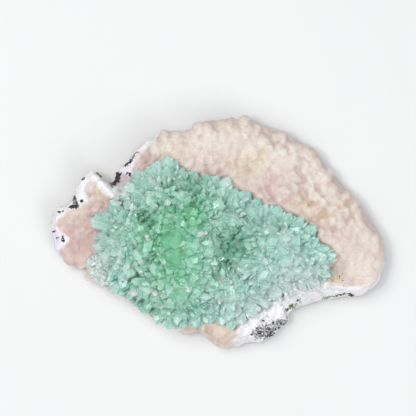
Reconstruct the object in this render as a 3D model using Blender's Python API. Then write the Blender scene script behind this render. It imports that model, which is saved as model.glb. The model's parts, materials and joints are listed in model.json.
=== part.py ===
"""Green apophyllite crystals grown on a broken plate of cream and pink crust.

The plate lies on its back with its crystals up: +X is the plate's right, +Y its top, +Z out of the crust.
The origin is the middle of the box's footprint, on the flat that the plate rests on.
Run it with: blender --background --python part.py
"""
import math
import random

import bmesh
import bpy
import numpy as np
from mathutils import Matrix, Vector
from mathutils.geometry import delaunay_2d_cdt

# Driving sizes, in metres
PLATE_WIDTH = 0.161
CRUST_HEIGHT = 0.0175
GAP = 0.0003
LUMP_SPACING = 0.0047
LUMP_HEIGHT = 0.0017
EDGE_STEP = 0.0032
BACK_INSET = 0.0045
LEVEL_RADIUS = 0.020

# The photograph's own frame: the plate is 337 of its squares wide and centred on this one
PLATE_SQUARES = 337.0
MIDDLE_SQUARE = (218.5, 232.0)
SQUARE = PLATE_WIDTH / PLATE_SQUARES

# Outline of the whole plate, clockwise from the left ridge, in squares of the photograph.
# Each point adds the width of the broken face seen from above and the height of the widest edge, in mm.
PLATE_OUTLINE = [
    (91, 170, 3.0, 13), (98, 174, 1.5, 13), (105, 180, 1.5, 12), (111, 186, 1.5, 10),
    (116, 175, 3.0, 11), (121, 167, 4.0, 11), (129, 159, 4.5, 11), (136, 149, 4.5, 11),
    (146, 141, 3.5, 11), (155, 136, 2.0, 11), (163, 130, 1.0, 12), (178, 131, 1.0, 12),
    (190, 129, 1.0, 12), (196, 122, 1.0, 12), (210, 119, 1.0, 12), (224, 117, 1.0, 12),
    (231, 115, 1.0, 12), (237, 118, 1.0, 12), (244, 114.5, 1.0, 12), (252, 118, 1.0, 12),
    (256, 124, 1.0, 12), (265, 125, 1.0, 12), (278, 129, 1.0, 12), (292, 136, 1.0, 12),
    (303, 144, 1.2, 12), (314, 146, 1.2, 12), (321, 153, 1.2, 11), (325, 163, 1.2, 11),
    (332, 168, 1.2, 11), (337, 178, 1.2, 11), (347, 187, 1.2, 11), (357, 197, 1.2, 11),
    (365, 207, 1.2, 11), (374, 222, 1.2, 10), (382, 233, 1.2, 10), (386, 245, 1.2, 10),
    (387, 256, 1.2, 9), (385, 268, 1.5, 9), (382, 278, 2.0, 8), (377, 288, 3.0, 7),
    (366, 295, 4.5, 6), (355, 298, 5.0, 6), (343, 298, 6.0, 5), (330, 300, 7.0, 5),
    (316, 303, 7.0, 5), (300, 309, 7.0, 5), (290, 313, 7.0, 5), (288, 322, 6.0, 5),
    (280, 328, 6.0, 5), (273, 338, 6.0, 5), (262, 343, 6.0, 5), (251, 344, 6.0, 5),
    (236, 348, 5.0, 5), (220, 350, 4.0, 5), (210, 341, 3.0, 6), (199, 335, 2.0, 7),
    (186, 335, 2.0, 7), (172, 330, 1.5, 8), (157, 324, 1.5, 8), (145, 316, 1.5, 8),
    (131, 305, 1.5, 8), (117, 297, 1.5, 8), (105, 290, 2.0, 8), (94, 283, 2.0, 8),
    (85, 280, 2.0, 8), (84, 273, 2.0, 8), (86, 269, 2.0, 8), (77, 268, 2.0, 8),
    (66, 265, 2.0, 8), (57, 256, 3.0, 8), (52, 243, 3.5, 8), (50, 228, 3.5, 8),
    (53, 212, 3.5, 9), (67, 204, 3.5, 9), (74, 194, 3.0, 10), (78, 183, 3.0, 11), (84, 176, 3.0, 12),
]

# Tips of the outermost crystals, clockwise from the top one, in squares of the photograph
EDGE_TIPS = [
    (168, 155), (183, 167), (197, 171), (207, 173), (218, 175), (229, 176), (237, 188), (250, 191),
    (259, 198), (268, 203), (279, 205), (291, 212), (303, 216), (316, 225), (319, 237), (330, 248),
    (337, 254), (329, 263), (331, 277), (318, 288), (305, 292), (292, 296), (280, 301), (268, 309),
    (256, 317), (243, 326), (232, 331), (222, 326), (210, 324), (196, 328), (182, 330), (168, 330),
    (155, 323), (141, 313), (126, 301), (112, 294), (101, 284), (94, 273), (86, 262), (91, 246),
    (96, 234), (89, 219), (101, 212), (110, 200), (121, 193), (127, 181), (134, 171), (147, 166), (158, 160),
]

# Rosettes of crystals: middle and radius in squares of the photograph, height over the crust in mm
ROSETTES = {
    "centre": (186, 236, 47, 20.0),
    "left": (124, 240, 38, 13.5),
    "top_left": (158, 190, 36, 15.5),
    "top_right": (224, 208, 38, 15.0),
    "right": (282, 250, 54, 17.0),
    "lower": (178, 292, 42, 15.0),
    "lower_fan": (236, 294, 38, 11.5),
    "low_right": (296, 276, 34, 10.0),
}
CRYSTAL_SPACING = 0.0085
CRYSTAL_WIDTH = (0.0027, 0.0042)
CRYSTAL_LENGTH = (0.0075, 0.0115)
CRYSTAL_ROOT = 0.003
CRYSTAL_STEEPNESS = (1.6, 2.4)
SEED = 12

# Forms of the crust, placed in squares of the photograph, with their depths, heights and spreads in metres:
# the left pocket, the wall of crust above it, and the overhang under the tip of that wall
POCKET = (80, 240, 0.0070, 0.011)
RIDGE = ((91, 172), (117, 199), 0.0045, 0.0017)
OVERHANG = (91, 171, 0.0062, 0.0062)


def from_photo(px, py):
    """Place on the plate, in metres, of a square of the photograph."""
    return np.array([(px - MIDDLE_SQUARE[0]) * SQUARE, (MIDDLE_SQUARE[1] - py) * SQUARE])


def closed_curve(points, per_span):
    """Points of a closed Catmull-Rom curve through the given ones; extra columns are carried along."""
    p = np.array(points, dtype=float)
    before, after, later = np.roll(p, 1, 0), np.roll(p, -1, 0), np.roll(p, -2, 0)
    spans = []
    for t in np.arange(per_span) / per_span:
        spans.append(0.5 * (2 * p + (after - before) * t
                            + (2 * before - 5 * p + 4 * after - later) * t ** 2
                            + (3 * p - before - 3 * after + later) * t ** 3))
    return np.stack(spans, 1).reshape(-1, p.shape[1])


def even_steps(curve, step):
    """The same closed curve with points a fixed step apart."""
    closed = np.vstack([curve, curve[:1]])
    along = np.concatenate([[0], np.cumsum(np.linalg.norm(np.diff(closed[:, :2], axis=0), axis=1))])
    count = int(round(along[-1] / step))
    wanted = np.arange(count) * along[-1] / count
    return np.stack([np.interp(wanted, along, closed[:, k]) for k in range(closed.shape[1])], 1)


def edge_distance(points, outline):
    """Distance from each point to the outline, positive inside it."""
    a, b = outline, np.roll(outline, -1, 0)
    ab = b - a
    ap = points[:, None, :] - a[None]
    t = np.clip((ap * ab).sum(2) / (ab * ab).sum(1), 0, 1)
    away = np.linalg.norm(ap - t[..., None] * ab[None], axis=2).min(1)
    x, y = points[:, 0:1], points[:, 1:2]
    crosses = (a[:, 1] > y) != (b[:, 1] > y)
    rise = np.where(ab[:, 1] == 0, 1e-12, ab[:, 1])
    inside = (crosses & (x < ab[:, 0] * (y - a[:, 1]) / rise + a[:, 0])).sum(1) % 2 == 1
    return np.where(inside, away, -away)


def plate_curve():
    """The plate's outline in metres, with the width of its broken face and the height of its edge."""
    rows = []
    for px, py, face, height in PLATE_OUTLINE:
        rows.append([*from_photo(px, py), face / 1000, height / 1000])
    return closed_curve(rows, 6)


def tip_places():
    """Places of the outermost crystal tips, in metres."""
    return np.array([from_photo(px, py) for px, py in EDGE_TIPS])


PLATE = plate_curve()
TIPS = tip_places()


def crust_height(points):
    """Height of the crust's smooth form: a slow swell, rounded to the edge, with a pocket and a ridge."""
    x, y = points[:, 0], points[:, 1]
    z = CRUST_HEIGHT + 0.0011 * np.sin(x * 70 + 0.6) * np.cos(y * 60 - 0.4) + 0.0008 * np.sin(x * 31 - y * 95)
    edge = np.clip(1 - edge_distance(points, PLATE[:, :2]) / 0.009, 0, 1)
    z -= 0.0042 * edge ** 2
    pocket = from_photo(*POCKET[:2])
    z -= POCKET[2] * np.exp(-((x - pocket[0]) ** 2 + 0.55 * (y - pocket[1]) ** 2) / (2 * POCKET[3] ** 2))
    start, end = from_photo(*RIDGE[0]), from_photo(*RIDGE[1])
    run = end - start
    t = np.clip((points - start) @ run / (run @ run), 0, 1)
    away = np.linalg.norm(points - start - t[:, None] * run, axis=1)
    z += RIDGE[2] * np.exp(-away ** 2 / (2 * RIDGE[3] ** 2))
    seat = np.clip(edge_distance(points, TIPS) / 0.008, 0, 1)
    return z - 0.003 * seat


def mound_height(points):
    """Height of the mass that the crystals stand on: the highest dome, faded out towards the outer tips."""
    highest = np.zeros(len(points))
    for px, py, radius, rise in ROSETTES.values():
        away = np.linalg.norm(points - from_photo(px, py), axis=1) / (radius * SQUARE)
        highest = np.maximum(highest, rise / 1000 * np.sqrt(np.clip(1 - away ** 2, 0, 1)))
    fade = np.clip((edge_distance(points, TIPS) - 0.0035) * 1.3, 0, None)
    return crust_height(points) + np.minimum(highest + 0.0025, fade)


def lattice(outline, step, wobble, inset, rng):
    """Points of a wobbled triangular lattice that lie inside the outline by at least the inset."""
    low, high = outline.min(0), outline.max(0)
    rows = []
    for j in range(int((high[1] - low[1]) / (step * 0.866)) + 2):
        for i in range(int((high[0] - low[0]) / step) + 2):
            rows.append([low[0] + (i + 0.5 * (j % 2)) * step + rng.uniform(-wobble, wobble) * step,
                         low[1] + j * 0.866 * step + rng.uniform(-wobble, wobble) * step])
    points = np.array(rows)
    return points[edge_distance(points, outline) > inset]


def fill(ring, inner):
    """Triangles over the inside of a ring of points, using the inner points too."""
    points = [Vector(p) for p in ring] + [Vector(p) for p in inner]
    found = delaunay_2d_cdt(points, [], [list(range(len(ring)))], 1, 1e-7)
    return np.array([v[:] for v in found[0]]), [list(f) for f in found[2]]


def inward(outline):
    """Unit normals of a clockwise outline that point into it, smoothed over a few points."""
    along = np.roll(outline, -2, 0) - np.roll(outline, 2, 0)
    normal = np.stack([along[:, 1], -along[:, 0]], 1)
    return normal / np.linalg.norm(normal, axis=1)[:, None]


def inset(outline, widths):
    """The outline moved inwards by a width at each point, and by less where it is too narrow for that."""
    normals = inward(outline)
    moved = outline + normals * widths[:, None] * 0.15
    for share in (0.3, 0.45, 0.6, 0.8, 1.0):
        trial = outline + normals * widths[:, None] * share
        clear = edge_distance(trial, outline) > widths * share * 0.85
        moved[clear] = trial[clear]
    return moved


def plate_shape():
    """Points and faces of the plate: a lumpy front, a broken rim and a rough back with a flat to rest on."""
    rng = random.Random(SEED)
    rim = even_steps(PLATE, EDGE_STEP)
    front_ring = inset(rim[:, :2], rim[:, 2])
    back_ring = inset(rim[:, :2], np.full(len(rim), BACK_INSET))
    lumps = lattice(front_ring, LUMP_SPACING, 0.28, LUMP_SPACING * 0.45, rng)
    open_crust = edge_distance(lumps, TIPS) < 0.004
    seat = lattice(front_ring, LUMP_SPACING * 2, 0.1, LUMP_SPACING * 0.45, rng)
    seat = seat[edge_distance(seat, TIPS) > 0.008]
    lumps = np.vstack([lumps[open_crust], seat])
    tall = np.concatenate([np.ones(int(open_crust.sum())), np.zeros(len(seat))])
    first, triangles = fill(front_ring, lumps)
    middles = np.array([first[t].mean(0) for t in triangles])
    middles = middles[(edge_distance(middles, front_ring) > 0.0012) & (edge_distance(middles, TIPS) < 0.004)]
    front, front_faces = fill(front_ring, np.vstack([lumps, middles]))
    height = crust_height(front)
    smooth = smooth_crust(front)
    for k, place in enumerate(front):
        nearest = np.linalg.norm(lumps - place, axis=1)
        near = int(nearest.argmin())
        if nearest[near] < 1e-6:
            height[k] += tall[near] * smooth[k] * LUMP_HEIGHT * rng.uniform(0.45, 0.8)
        elif k >= len(front_ring):
            height[k] -= smooth[k] * LUMP_HEIGHT * rng.uniform(0.2, 0.5)
    back, back_faces = fill(back_ring, lattice(back_ring, 0.0085, 0.25, 0.003, rng))
    depth = back_height(back)
    front = [(*p, z) for p, z in zip(front, height)]
    points = list(front)
    faces = list(front_faces)
    widest = len(points)
    points += [(p[0], p[1], p[3] + rng.uniform(-0.0006, 0.0006)) for p in rim]
    count = len(rim)
    under = len(points)
    points += [(*p, z) for p, z in zip(back, depth)]
    faces += [[under + k for k in reversed(f)] for f in back_faces]
    for k in range(count):
        n = (k + 1) % count
        faces += [[k, n, widest + n, widest + k], [widest + k, widest + n, under + n, under + k]]
    return points, faces, front, front_faces, count


def smooth_crust(points):
    """How lumpy the crust is: 1 over most of it, less in the left pocket and on the lower right."""
    pocket = from_photo(82, 238)
    plain = from_photo(366, 272)
    near_pocket = np.exp(-((points - pocket) ** 2).sum(1) / (2 * 0.014 ** 2))
    near_plain = np.exp(-((points - plain) ** 2).sum(1) / (2 * 0.010 ** 2))
    return 1 - 0.75 * np.maximum(near_pocket, near_plain)


def back_height(points):
    """Height of the rough back: coarse bumps that rise to the rim, cut off level where they would pass 0."""
    x, y = points[:, 0], points[:, 1]
    edge = np.clip(edge_distance(points, PLATE[:, :2]), 0, None)
    rise = 0.0036 * np.exp(-edge / 0.009)
    bumps = 0.0017 * np.sin(x * 130 + 1.3) * np.cos(y * 150 + 0.4) + 0.0015 * np.sin(x * 61 - y * 83 + 2.0)
    level = 1 - np.exp(-(x ** 2 + y ** 2) / LEVEL_RADIUS ** 2)
    tip = from_photo(*OVERHANG[:2])
    overhang = OVERHANG[2] * np.exp(-((points - tip) ** 2).sum(1) / (2 * OVERHANG[3] ** 2))
    return np.clip(rise + overhang + bumps * level - 0.0007, 0, None)


def crystal(place, axis, turn, half, length, steep, blunt):
    """Corners and faces of one tetragonal crystal: four prism faces under four pyramid faces on its edges."""
    tall = half * steep
    corner, middle, apex = length - tall, length - tall * 0.5, length
    top = apex - (apex - middle) * blunt
    cut = half * blunt
    local = [(sx * half, sy * half, -CRYSTAL_ROOT) for sx, sy in ((1, 1), (-1, 1), (-1, -1), (1, -1))]
    local += [(sx * half, sy * half, corner) for sx, sy in ((1, 1), (-1, 1), (-1, -1), (1, -1))]
    local += [(0, half, middle), (-half, 0, middle), (0, -half, middle), (half, 0, middle)]
    local += [(0, cut, top), (-cut, 0, top), (0, -cut, top), (cut, 0, top)]
    faces = [[3, 2, 1, 0], [12, 13, 14, 15]]
    for k in range(4):
        n = (k + 1) % 4
        before = (k + 3) % 4
        faces.append([k, n, 4 + n, 8 + k, 4 + k])
        faces.append([4 + k, 8 + k, 12 + k, 12 + before, 8 + before])
    turned = Vector((0, 0, 1)).rotation_difference(Vector(axis)).to_matrix() @ Matrix.Rotation(turn, 3, "Z")
    return [turned @ Vector(p) + Vector(place) for p in local], faces


def edge_crystals(rng):
    """Crystals whose tips make the cluster's outline, leaning outwards, with a second row behind them."""
    made = []
    normals = -inward(TIPS)
    for k, tip in enumerate(TIPS):
        neighbours = 0.5 * (TIPS[k - 1] + TIPS[(k + 1) % len(TIPS)])
        out = normals[k] + 60 * (tip - neighbours)
        out /= np.linalg.norm(out)
        for row, (lift, back, wide) in enumerate(((0.42, 0.0, 1.0), (0.95, 0.0052, 1.15))):
            lean = Vector((out[0], out[1], lift + rng.uniform(-0.1, 0.12))).normalized()
            half = rng.uniform(*CRYSTAL_WIDTH) * wide * 0.86
            length = rng.uniform(0.0085, 0.0105) + 0.0015 * row
            aside = rng.uniform(-0.0015, 0.0015) * row
            end = tip - out * back + np.array([-out[1], out[0]]) * aside
            height = float(crust_height(end[None])[0]) + 0.0044 + 0.0052 * row + rng.uniform(0, 0.0012)
            root = Vector((end[0], end[1], height)) - lean * length
            turn = rng.uniform(0, math.pi)
            made.append((root, lean, turn, half, length, rng.uniform(*CRYSTAL_STEEPNESS), 0.18))
    return made


def rosette_crystals(rng):
    """Crystals on sunflower spirals over each dome, leaning away from its middle."""
    made = []
    golden = math.pi * (3 - math.sqrt(5))
    for name, (px, py, radius, _) in ROSETTES.items():
        middle = from_photo(px, py)
        reach = radius * SQUARE
        count = int(math.pi * reach ** 2 / (CRYSTAL_SPACING ** 2 * 0.86))
        phase = rng.uniform(0, math.tau)
        for k in range(count):
            share = math.sqrt((k + 0.5) / count)
            angle = phase + k * golden
            way = np.array([math.cos(angle), math.sin(angle)])
            place = middle + way * reach * share + np.array([rng.uniform(-1, 1), rng.uniform(-1, 1)]) * 0.0009
            draws = [rng.random() for _ in range(6)]
            steep = rng.uniform(*CRYSTAL_STEEPNESS)
            half = CRYSTAL_WIDTH[0] + (CRYSTAL_WIDTH[1] - CRYSTAL_WIDTH[0]) * draws[0]
            length = CRYSTAL_LENGTH[0] + (CRYSTAL_LENGTH[1] - CRYSTAL_LENGTH[0]) * draws[1]
            if float(edge_distance(place[None], TIPS)[0]) < 0.0085:
                continue
            if hidden(place, name):
                continue
            height = float(mound_height(place[None])[0])
            lean = Vector((way[0] * share * 1.05 + draws[2] * 0.3 - 0.15,
                           way[1] * share * 1.05 + draws[3] * 0.3 - 0.15, 1)).normalized()
            root = Vector((place[0], place[1], height - 0.0022))
            made.append((root, lean, draws[4] * math.pi, half, length, steep, 0.10 + 0.25 * draws[5]))
    return made


def hidden(place, name):
    """True where another rosette stands higher than the named one."""
    heights = {}
    for other, (px, py, radius, rise) in ROSETTES.items():
        away = np.linalg.norm(place - from_photo(px, py)) / (radius * SQUARE)
        heights[other] = rise * math.sqrt(max(0.0, 1 - away ** 2))
    return max(heights, key=heights.get) != name


def mound_shape(rng):
    """Points and faces of the mass under the crystals, from well under the crust up to the domes."""
    base = even_steps(closed_curve(TIPS, 3), 0.0065)
    base = base + inward(base) * 0.0045
    top, faces = fill(base, lattice(base, 0.0090, 0.15, 0.0035, rng))
    height = mound_height(top)
    count = len(top)
    points = [(*p, z) for p, z in zip(top, height)]
    points += [(*p, z - 0.012) for p, z in zip(top, crust_height(top))]
    faces = faces + [[count + k for k in reversed(f)] for f in faces]
    for k in range(len(base)):
        n = (k + 1) % len(base)
        faces.append([k, n, count + n, count + k])
    return points, faces


def above_crust(points, faces, ring_count):
    """A block that is all the space over the crust: its floor is the plate's front raised by the gap."""
    far, roof = 0.14, 0.09
    corners = [(-far, -far), (far, -far), (far, far), (-far, far)]
    ring = [p[:2] for p in points[:ring_count]]
    edges = [(4 + k, 4 + (k + 1) % ring_count) for k in range(ring_count)]
    found = delaunay_2d_cdt([Vector(p) for p in corners + ring], edges, [[0, 1, 2, 3]], 1, 1e-7)
    flat = np.array([v[:] for v in found[0]])
    outline = np.array(ring)
    skirt = [f for f in found[2] if edge_distance(flat[list(f)].mean(0)[None], outline)[0] < 0]
    floor = [(x, y, z + GAP) for x, y, z in points]
    start = len(floor)
    floor += [(*c, CRUST_HEIGHT) for c in corners] + [(*c, roof) for c in corners]
    index = {k: start + k for k in range(4)}
    index.update({4 + k: k for k in range(ring_count)})
    made = [f for f in faces] + [[index[k] for k in f] for f in skirt]
    made = [list(reversed(f)) for f in made]
    for k in range(4):
        n = (k + 1) % 4
        made.append([start + k, start + n, start + 4 + n, start + 4 + k])
    made.append([start + 4, start + 5, start + 6, start + 7])
    return floor, made


def mesh_object(name, points, faces):
    """A new object of the given points and faces, with its normals made to point out."""
    mesh = bpy.data.meshes.new(name)
    mesh.from_pydata([tuple(p) for p in points], [], faces)
    made = bmesh.new()
    made.from_mesh(mesh)
    bmesh.ops.recalc_face_normals(made, faces=made.faces)
    made.to_mesh(mesh)
    made.free()
    obj = bpy.data.objects.new(name, mesh)
    bpy.context.scene.collection.objects.link(obj)
    return obj


def combined(target, other, operation, overlapping=False):
    """Applies a Boolean of the target with the other object and removes the other."""
    boolean = target.modifiers.new(operation.title(), "BOOLEAN")
    boolean.operation = operation
    boolean.solver = "EXACT"
    boolean.use_self = overlapping
    boolean.object = other
    result = bpy.data.meshes.new_from_object(target.evaluated_get(bpy.context.evaluated_depsgraph_get()))
    target.modifiers.clear()
    target.data = result
    bpy.data.objects.remove(other)


def keep_outer_shell(obj):
    """Deletes every shell but the largest, which fills small sealed pockets and drops loose slivers."""
    made = bmesh.new()
    made.from_mesh(obj.data)
    unseen, shells = set(made.verts), []
    while unseen:
        shell, front = set(), [unseen.pop()]
        while front:
            vert = front.pop()
            shell.add(vert)
            near = {e.other_vert(vert) for e in vert.link_edges} & unseen
            unseen -= near
            front.extend(near)
        shells.append(shell)
    largest = max(shells, key=len)
    bmesh.ops.delete(made, geom=[v for v in made.verts if v not in largest], context="VERTS")
    made.to_mesh(obj.data)
    made.free()


def finish(name, colour, roughness):
    """A material with a Principled BSDF."""
    material = bpy.data.materials.new(name)
    material.use_nodes = True
    surface = material.node_tree.nodes["Principled BSDF"]
    surface.inputs["Base Color"].default_value = (*colour, 1)
    surface.inputs["Roughness"].default_value = roughness
    surface.inputs["Metallic"].default_value = 0
    return material


def build():
    """Makes the plate, then the crystals that stand on it."""
    for obj in list(bpy.data.objects):
        bpy.data.objects.remove(obj)
    points, faces, front, front_faces, ring_count = plate_shape()
    matrix = mesh_object("matrix", points, faces)
    matrix.data.materials.append(finish("crust", (0.75, 0.66, 0.60), 0.7))
    rng = random.Random(SEED)
    shapes = [crystal(*c) for c in edge_crystals(rng) + rosette_crystals(rng)]
    corners, sides = [], []
    for shape_points, shape_faces in shapes:
        sides += [[k + len(corners) for k in f] for f in shape_faces]
        corners += shape_points
    crystals = mesh_object("crystals", corners, sides)
    cluster = mesh_object("apophyllite_cluster", *mound_shape(rng))
    combined(cluster, crystals, "UNION", True)
    combined(cluster, mesh_object("block", *above_crust(front, front_faces, ring_count)), "INTERSECT")
    keep_outer_shell(cluster)
    cluster.data.materials.clear()
    cluster.data.materials.append(finish("apophyllite", (0.33, 0.62, 0.47), 0.12))
    for obj in (matrix, cluster):
        faces = sum(len(p.vertices) - 2 for p in obj.data.polygons)
        print(obj.name, "triangles", faces, "size", [round(d * 1000, 1) for d in obj.dimensions])


build()
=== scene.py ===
import json
import math
import random

import bpy
import numpy as np
from mathutils import Matrix, Vector
from mathutils.bvhtree import BVHTree

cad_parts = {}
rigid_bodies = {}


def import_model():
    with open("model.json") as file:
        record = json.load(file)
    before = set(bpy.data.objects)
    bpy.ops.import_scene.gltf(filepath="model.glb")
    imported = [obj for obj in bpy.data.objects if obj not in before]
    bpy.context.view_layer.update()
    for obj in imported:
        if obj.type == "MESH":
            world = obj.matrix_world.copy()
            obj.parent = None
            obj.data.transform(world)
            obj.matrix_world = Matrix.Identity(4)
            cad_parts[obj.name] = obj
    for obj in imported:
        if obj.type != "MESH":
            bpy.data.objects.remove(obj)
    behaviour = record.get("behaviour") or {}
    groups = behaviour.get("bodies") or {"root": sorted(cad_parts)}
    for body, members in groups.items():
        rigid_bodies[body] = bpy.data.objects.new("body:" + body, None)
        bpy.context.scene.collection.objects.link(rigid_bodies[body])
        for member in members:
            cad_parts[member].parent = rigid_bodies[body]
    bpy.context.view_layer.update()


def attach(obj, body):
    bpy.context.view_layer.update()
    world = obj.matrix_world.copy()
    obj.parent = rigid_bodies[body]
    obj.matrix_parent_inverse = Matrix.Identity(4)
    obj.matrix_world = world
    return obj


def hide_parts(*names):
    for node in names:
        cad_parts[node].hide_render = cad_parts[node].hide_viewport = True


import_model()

# The plate in metres, and the photograph's squares that its places are read in
plate = {
    "width": 0.161,
    "squares": 337.0,
    "middle": (218.5, 232.0),
    "heart": (140, 250),          # every ray from here meets the outline once
    "crustHeight": 0.0175,
    "lumpSpacing": 0.0047,
    "lumpHeight": 0.0025,
    "backInset": 0.0045,
    "levelRadius": 0.020,
    "pocket": (80, 240, 0.0070, 0.011),
    "ridge": ((91, 172), (117, 199), 0.0045, 0.0017),
    "overhang": (91, 171, 0.0062, 0.0062),
    "seed": 12,
}
square = plate["width"] / plate["squares"]

# Outline clockwise from the left ridge: square x, y, width of the broken face and height of the edge in mm
plateOutline = [
    (91, 170, 3.0, 13), (98, 174, 1.5, 13), (105, 180, 1.5, 12), (111, 186, 1.5, 10),
    (116, 175, 3.0, 11), (121, 167, 4.0, 11), (129, 159, 4.5, 11), (136, 149, 4.5, 11),
    (146, 141, 3.5, 11), (155, 136, 2.0, 11), (163, 130, 1.0, 12), (178, 131, 1.0, 12),
    (190, 129, 1.0, 12), (196, 122, 1.0, 12), (210, 119, 1.0, 12), (224, 117, 1.0, 12),
    (231, 115, 1.0, 12), (237, 118, 1.0, 12), (244, 114.5, 1.0, 12), (252, 118, 1.0, 12),
    (256, 124, 1.0, 12), (265, 125, 1.0, 12), (278, 129, 1.0, 12), (292, 136, 1.0, 12),
    (303, 144, 1.2, 12), (314, 146, 1.2, 12), (321, 153, 1.2, 11), (325, 163, 1.2, 11),
    (332, 168, 1.2, 11), (337, 178, 1.2, 11), (347, 187, 1.2, 11), (357, 197, 1.2, 11),
    (365, 207, 1.2, 11), (374, 222, 1.2, 10), (382, 233, 1.2, 10), (386, 245, 1.2, 10),
    (387, 256, 1.2, 9), (385, 268, 1.5, 9), (382, 278, 2.0, 8), (377, 288, 3.0, 7),
    (366, 295, 4.5, 6), (355, 298, 5.0, 6), (343, 298, 6.0, 5), (330, 300, 7.0, 5),
    (316, 303, 7.0, 5), (300, 309, 7.0, 5), (290, 313, 7.0, 5), (288, 322, 6.0, 5),
    (280, 328, 6.0, 5), (273, 338, 6.0, 5), (262, 343, 6.0, 5), (251, 344, 6.0, 5),
    (236, 348, 5.0, 5), (220, 350, 4.0, 5), (210, 341, 3.0, 6), (199, 335, 2.0, 7),
    (186, 335, 2.0, 7), (172, 330, 1.5, 8), (157, 324, 1.5, 8), (145, 316, 1.5, 8),
    (131, 305, 1.5, 8), (117, 297, 1.5, 8), (105, 290, 2.0, 8), (94, 283, 2.0, 8),
    (85, 280, 2.0, 8), (84, 273, 2.0, 8), (86, 269, 2.0, 8), (77, 268, 1.1, 8),
    (66, 265, 1.1, 8), (57, 256, 1.5, 8), (52, 243, 3.5, 8), (50, 228, 3.5, 8),
    (53, 212, 3.5, 9), (67, 204, 3.5, 9), (74, 194, 3.0, 10), (78, 183, 3.0, 11), (84, 176, 3.0, 12),
]

# Tips of the outermost crystals, clockwise from the top one
edgeTips = [
    (168, 155), (183, 167), (197, 171), (207, 173), (218, 175), (229, 176), (237, 188), (250, 191),
    (259, 198), (268, 203), (279, 205), (291, 212), (303, 216), (316, 225), (319, 237), (330, 248),
    (337, 254), (329, 263), (331, 277), (318, 288), (305, 292), (292, 296), (280, 301), (268, 309),
    (256, 317), (243, 326), (232, 331), (222, 326), (210, 324), (196, 328), (182, 330), (168, 330),
    (155, 323), (141, 313), (126, 301), (112, 294), (101, 284), (94, 273), (86, 262), (91, 246),
    (96, 234), (89, 219), (101, 212), (110, 200), (121, 193), (127, 181), (134, 171), (147, 166), (158, 160),
]

# Rosettes of crystals: square x, y, radius in squares, height over the crust in mm
rosettes = {
    "centre": (186, 236, 47, 20.0),
    "left": (124, 240, 38, 13.5),
    "topLeft": (158, 190, 36, 15.5),
    "topRight": (224, 208, 38, 15.0),
    "right": (282, 250, 54, 17.0),
    "lower": (178, 292, 42, 15.0),
    "lowerFan": (236, 294, 38, 11.5),
    "lowRight": (296, 276, 34, 10.0),
}


def fromPhoto(px, py):  # place on the plate, in metres, of a square of the photograph
    return np.array([(px - plate["middle"][0]) * square, (plate["middle"][1] - py) * square])


def within(values):  # held between 0 and 1
    return np.clip(values, 0, 1)


def unit(vectors):  # each row made one long
    return vectors / np.linalg.norm(vectors, axis=1)[:, None]


def onGround(flat):  # the same places as points at height 0
    return np.column_stack([flat, np.zeros(len(flat))])


def closedCurve(points, perSpan):  # Catmull-Rom: each span is a cubic that both neighbours steer
    p = np.array(points, dtype=float)
    before, after, later = np.roll(p, 1, 0), np.roll(p, -1, 0), np.roll(p, -2, 0)
    spans = []
    for t in np.arange(perSpan) / perSpan:
        spans.append(0.5 * (2 * p + (after - before) * t
                            + (2 * before - 5 * p + 4 * after - later) * t ** 2
                            + (3 * p - before - 3 * after + later) * t ** 3))
    return np.stack(spans, 1).reshape(-1, p.shape[1])


def evenSteps(curve, step):  # the same curve with its points equally spaced along it
    closed = np.vstack([curve, curve[:1]])
    along = np.concatenate([[0], np.cumsum(np.linalg.norm(np.diff(closed[:, :2], axis=0), axis=1))])
    count = int(round(along[-1] / step))
    wanted = np.arange(count) * along[-1] / count
    return np.stack([np.interp(wanted, along, closed[:, k]) for k in range(closed.shape[1])], 1)


def edgeDistance(points, outline, chunk=6000):  # distance to the outline, positive inside it
    a, b = outline, np.roll(outline, -1, 0)
    ab = b - a
    length = (ab * ab).sum(1)
    rise = np.where(ab[:, 1] == 0, 1e-12, ab[:, 1])
    found = []
    for start in range(0, len(points), chunk):
        x, y = points[start:start + chunk, 0:1], points[start:start + chunk, 1:2]
        ax, ay = x - a[:, 0], y - a[:, 1]
        t = within((ax * ab[:, 0] + ay * ab[:, 1]) / length)
        away = np.sqrt(((ax - t * ab[:, 0]) ** 2 + (ay - t * ab[:, 1]) ** 2).min(1))
        crosses = (a[:, 1] > y) != (b[:, 1] > y)
        inside = (crosses & (x < ab[:, 0] * ay / rise + a[:, 0])).sum(1) % 2 == 1
        found.append(np.where(inside, away, -away))
    return np.concatenate(found)


def inward(outline, reach):  # unit normals of a clockwise outline, pointing into it
    along = np.roll(outline, -reach, 0) - np.roll(outline, reach, 0)
    return unit(np.stack([along[:, 1], -along[:, 0]], 1))


def insetOutline(outline, widths, reach):  # the outline moved in by each width, or less where it is narrow
    normals = inward(outline, reach)
    moved = outline + normals * widths[:, None] * 0.15
    for share in (0.3, 0.45, 0.6, 0.8, 1.0):
        trial = outline + normals * widths[:, None] * share
        clear = edgeDistance(trial, outline) > widths * share * 0.85
        moved[clear] = trial[clear]
    return moved


def cornerValue(corner, seed):  # a repeatable value from 0 to 1 at each whole-number corner
    mixed = np.sin(corner @ np.array([127.1, 311.7, 74.7]) + seed * 53.31) * 43758.5453
    return mixed - np.floor(mixed)


def cloudNoise(points, size, octaves=3, seed=0):  # octaves of smoothly blended corner values, from 0 to 1
    total, weight, level = 0.0, 0.0, 1.0
    p = points / size
    for k in range(octaves):
        base = np.floor(p)
        f = p - base
        f = f * f * (3 - 2 * f)
        value = 0.0
        for corner in range(8):
            step = np.array([corner & 1, corner >> 1 & 1, corner >> 2 & 1])
            share = np.prod(np.where(step == 1, f, 1 - f), axis=1)
            value = value + share * cornerValue(base + step, seed + k * 7)
        total = total + value * level
        weight += level
        level *= 0.5
        p = p * 2.03 + 11.7
    return total / weight


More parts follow.
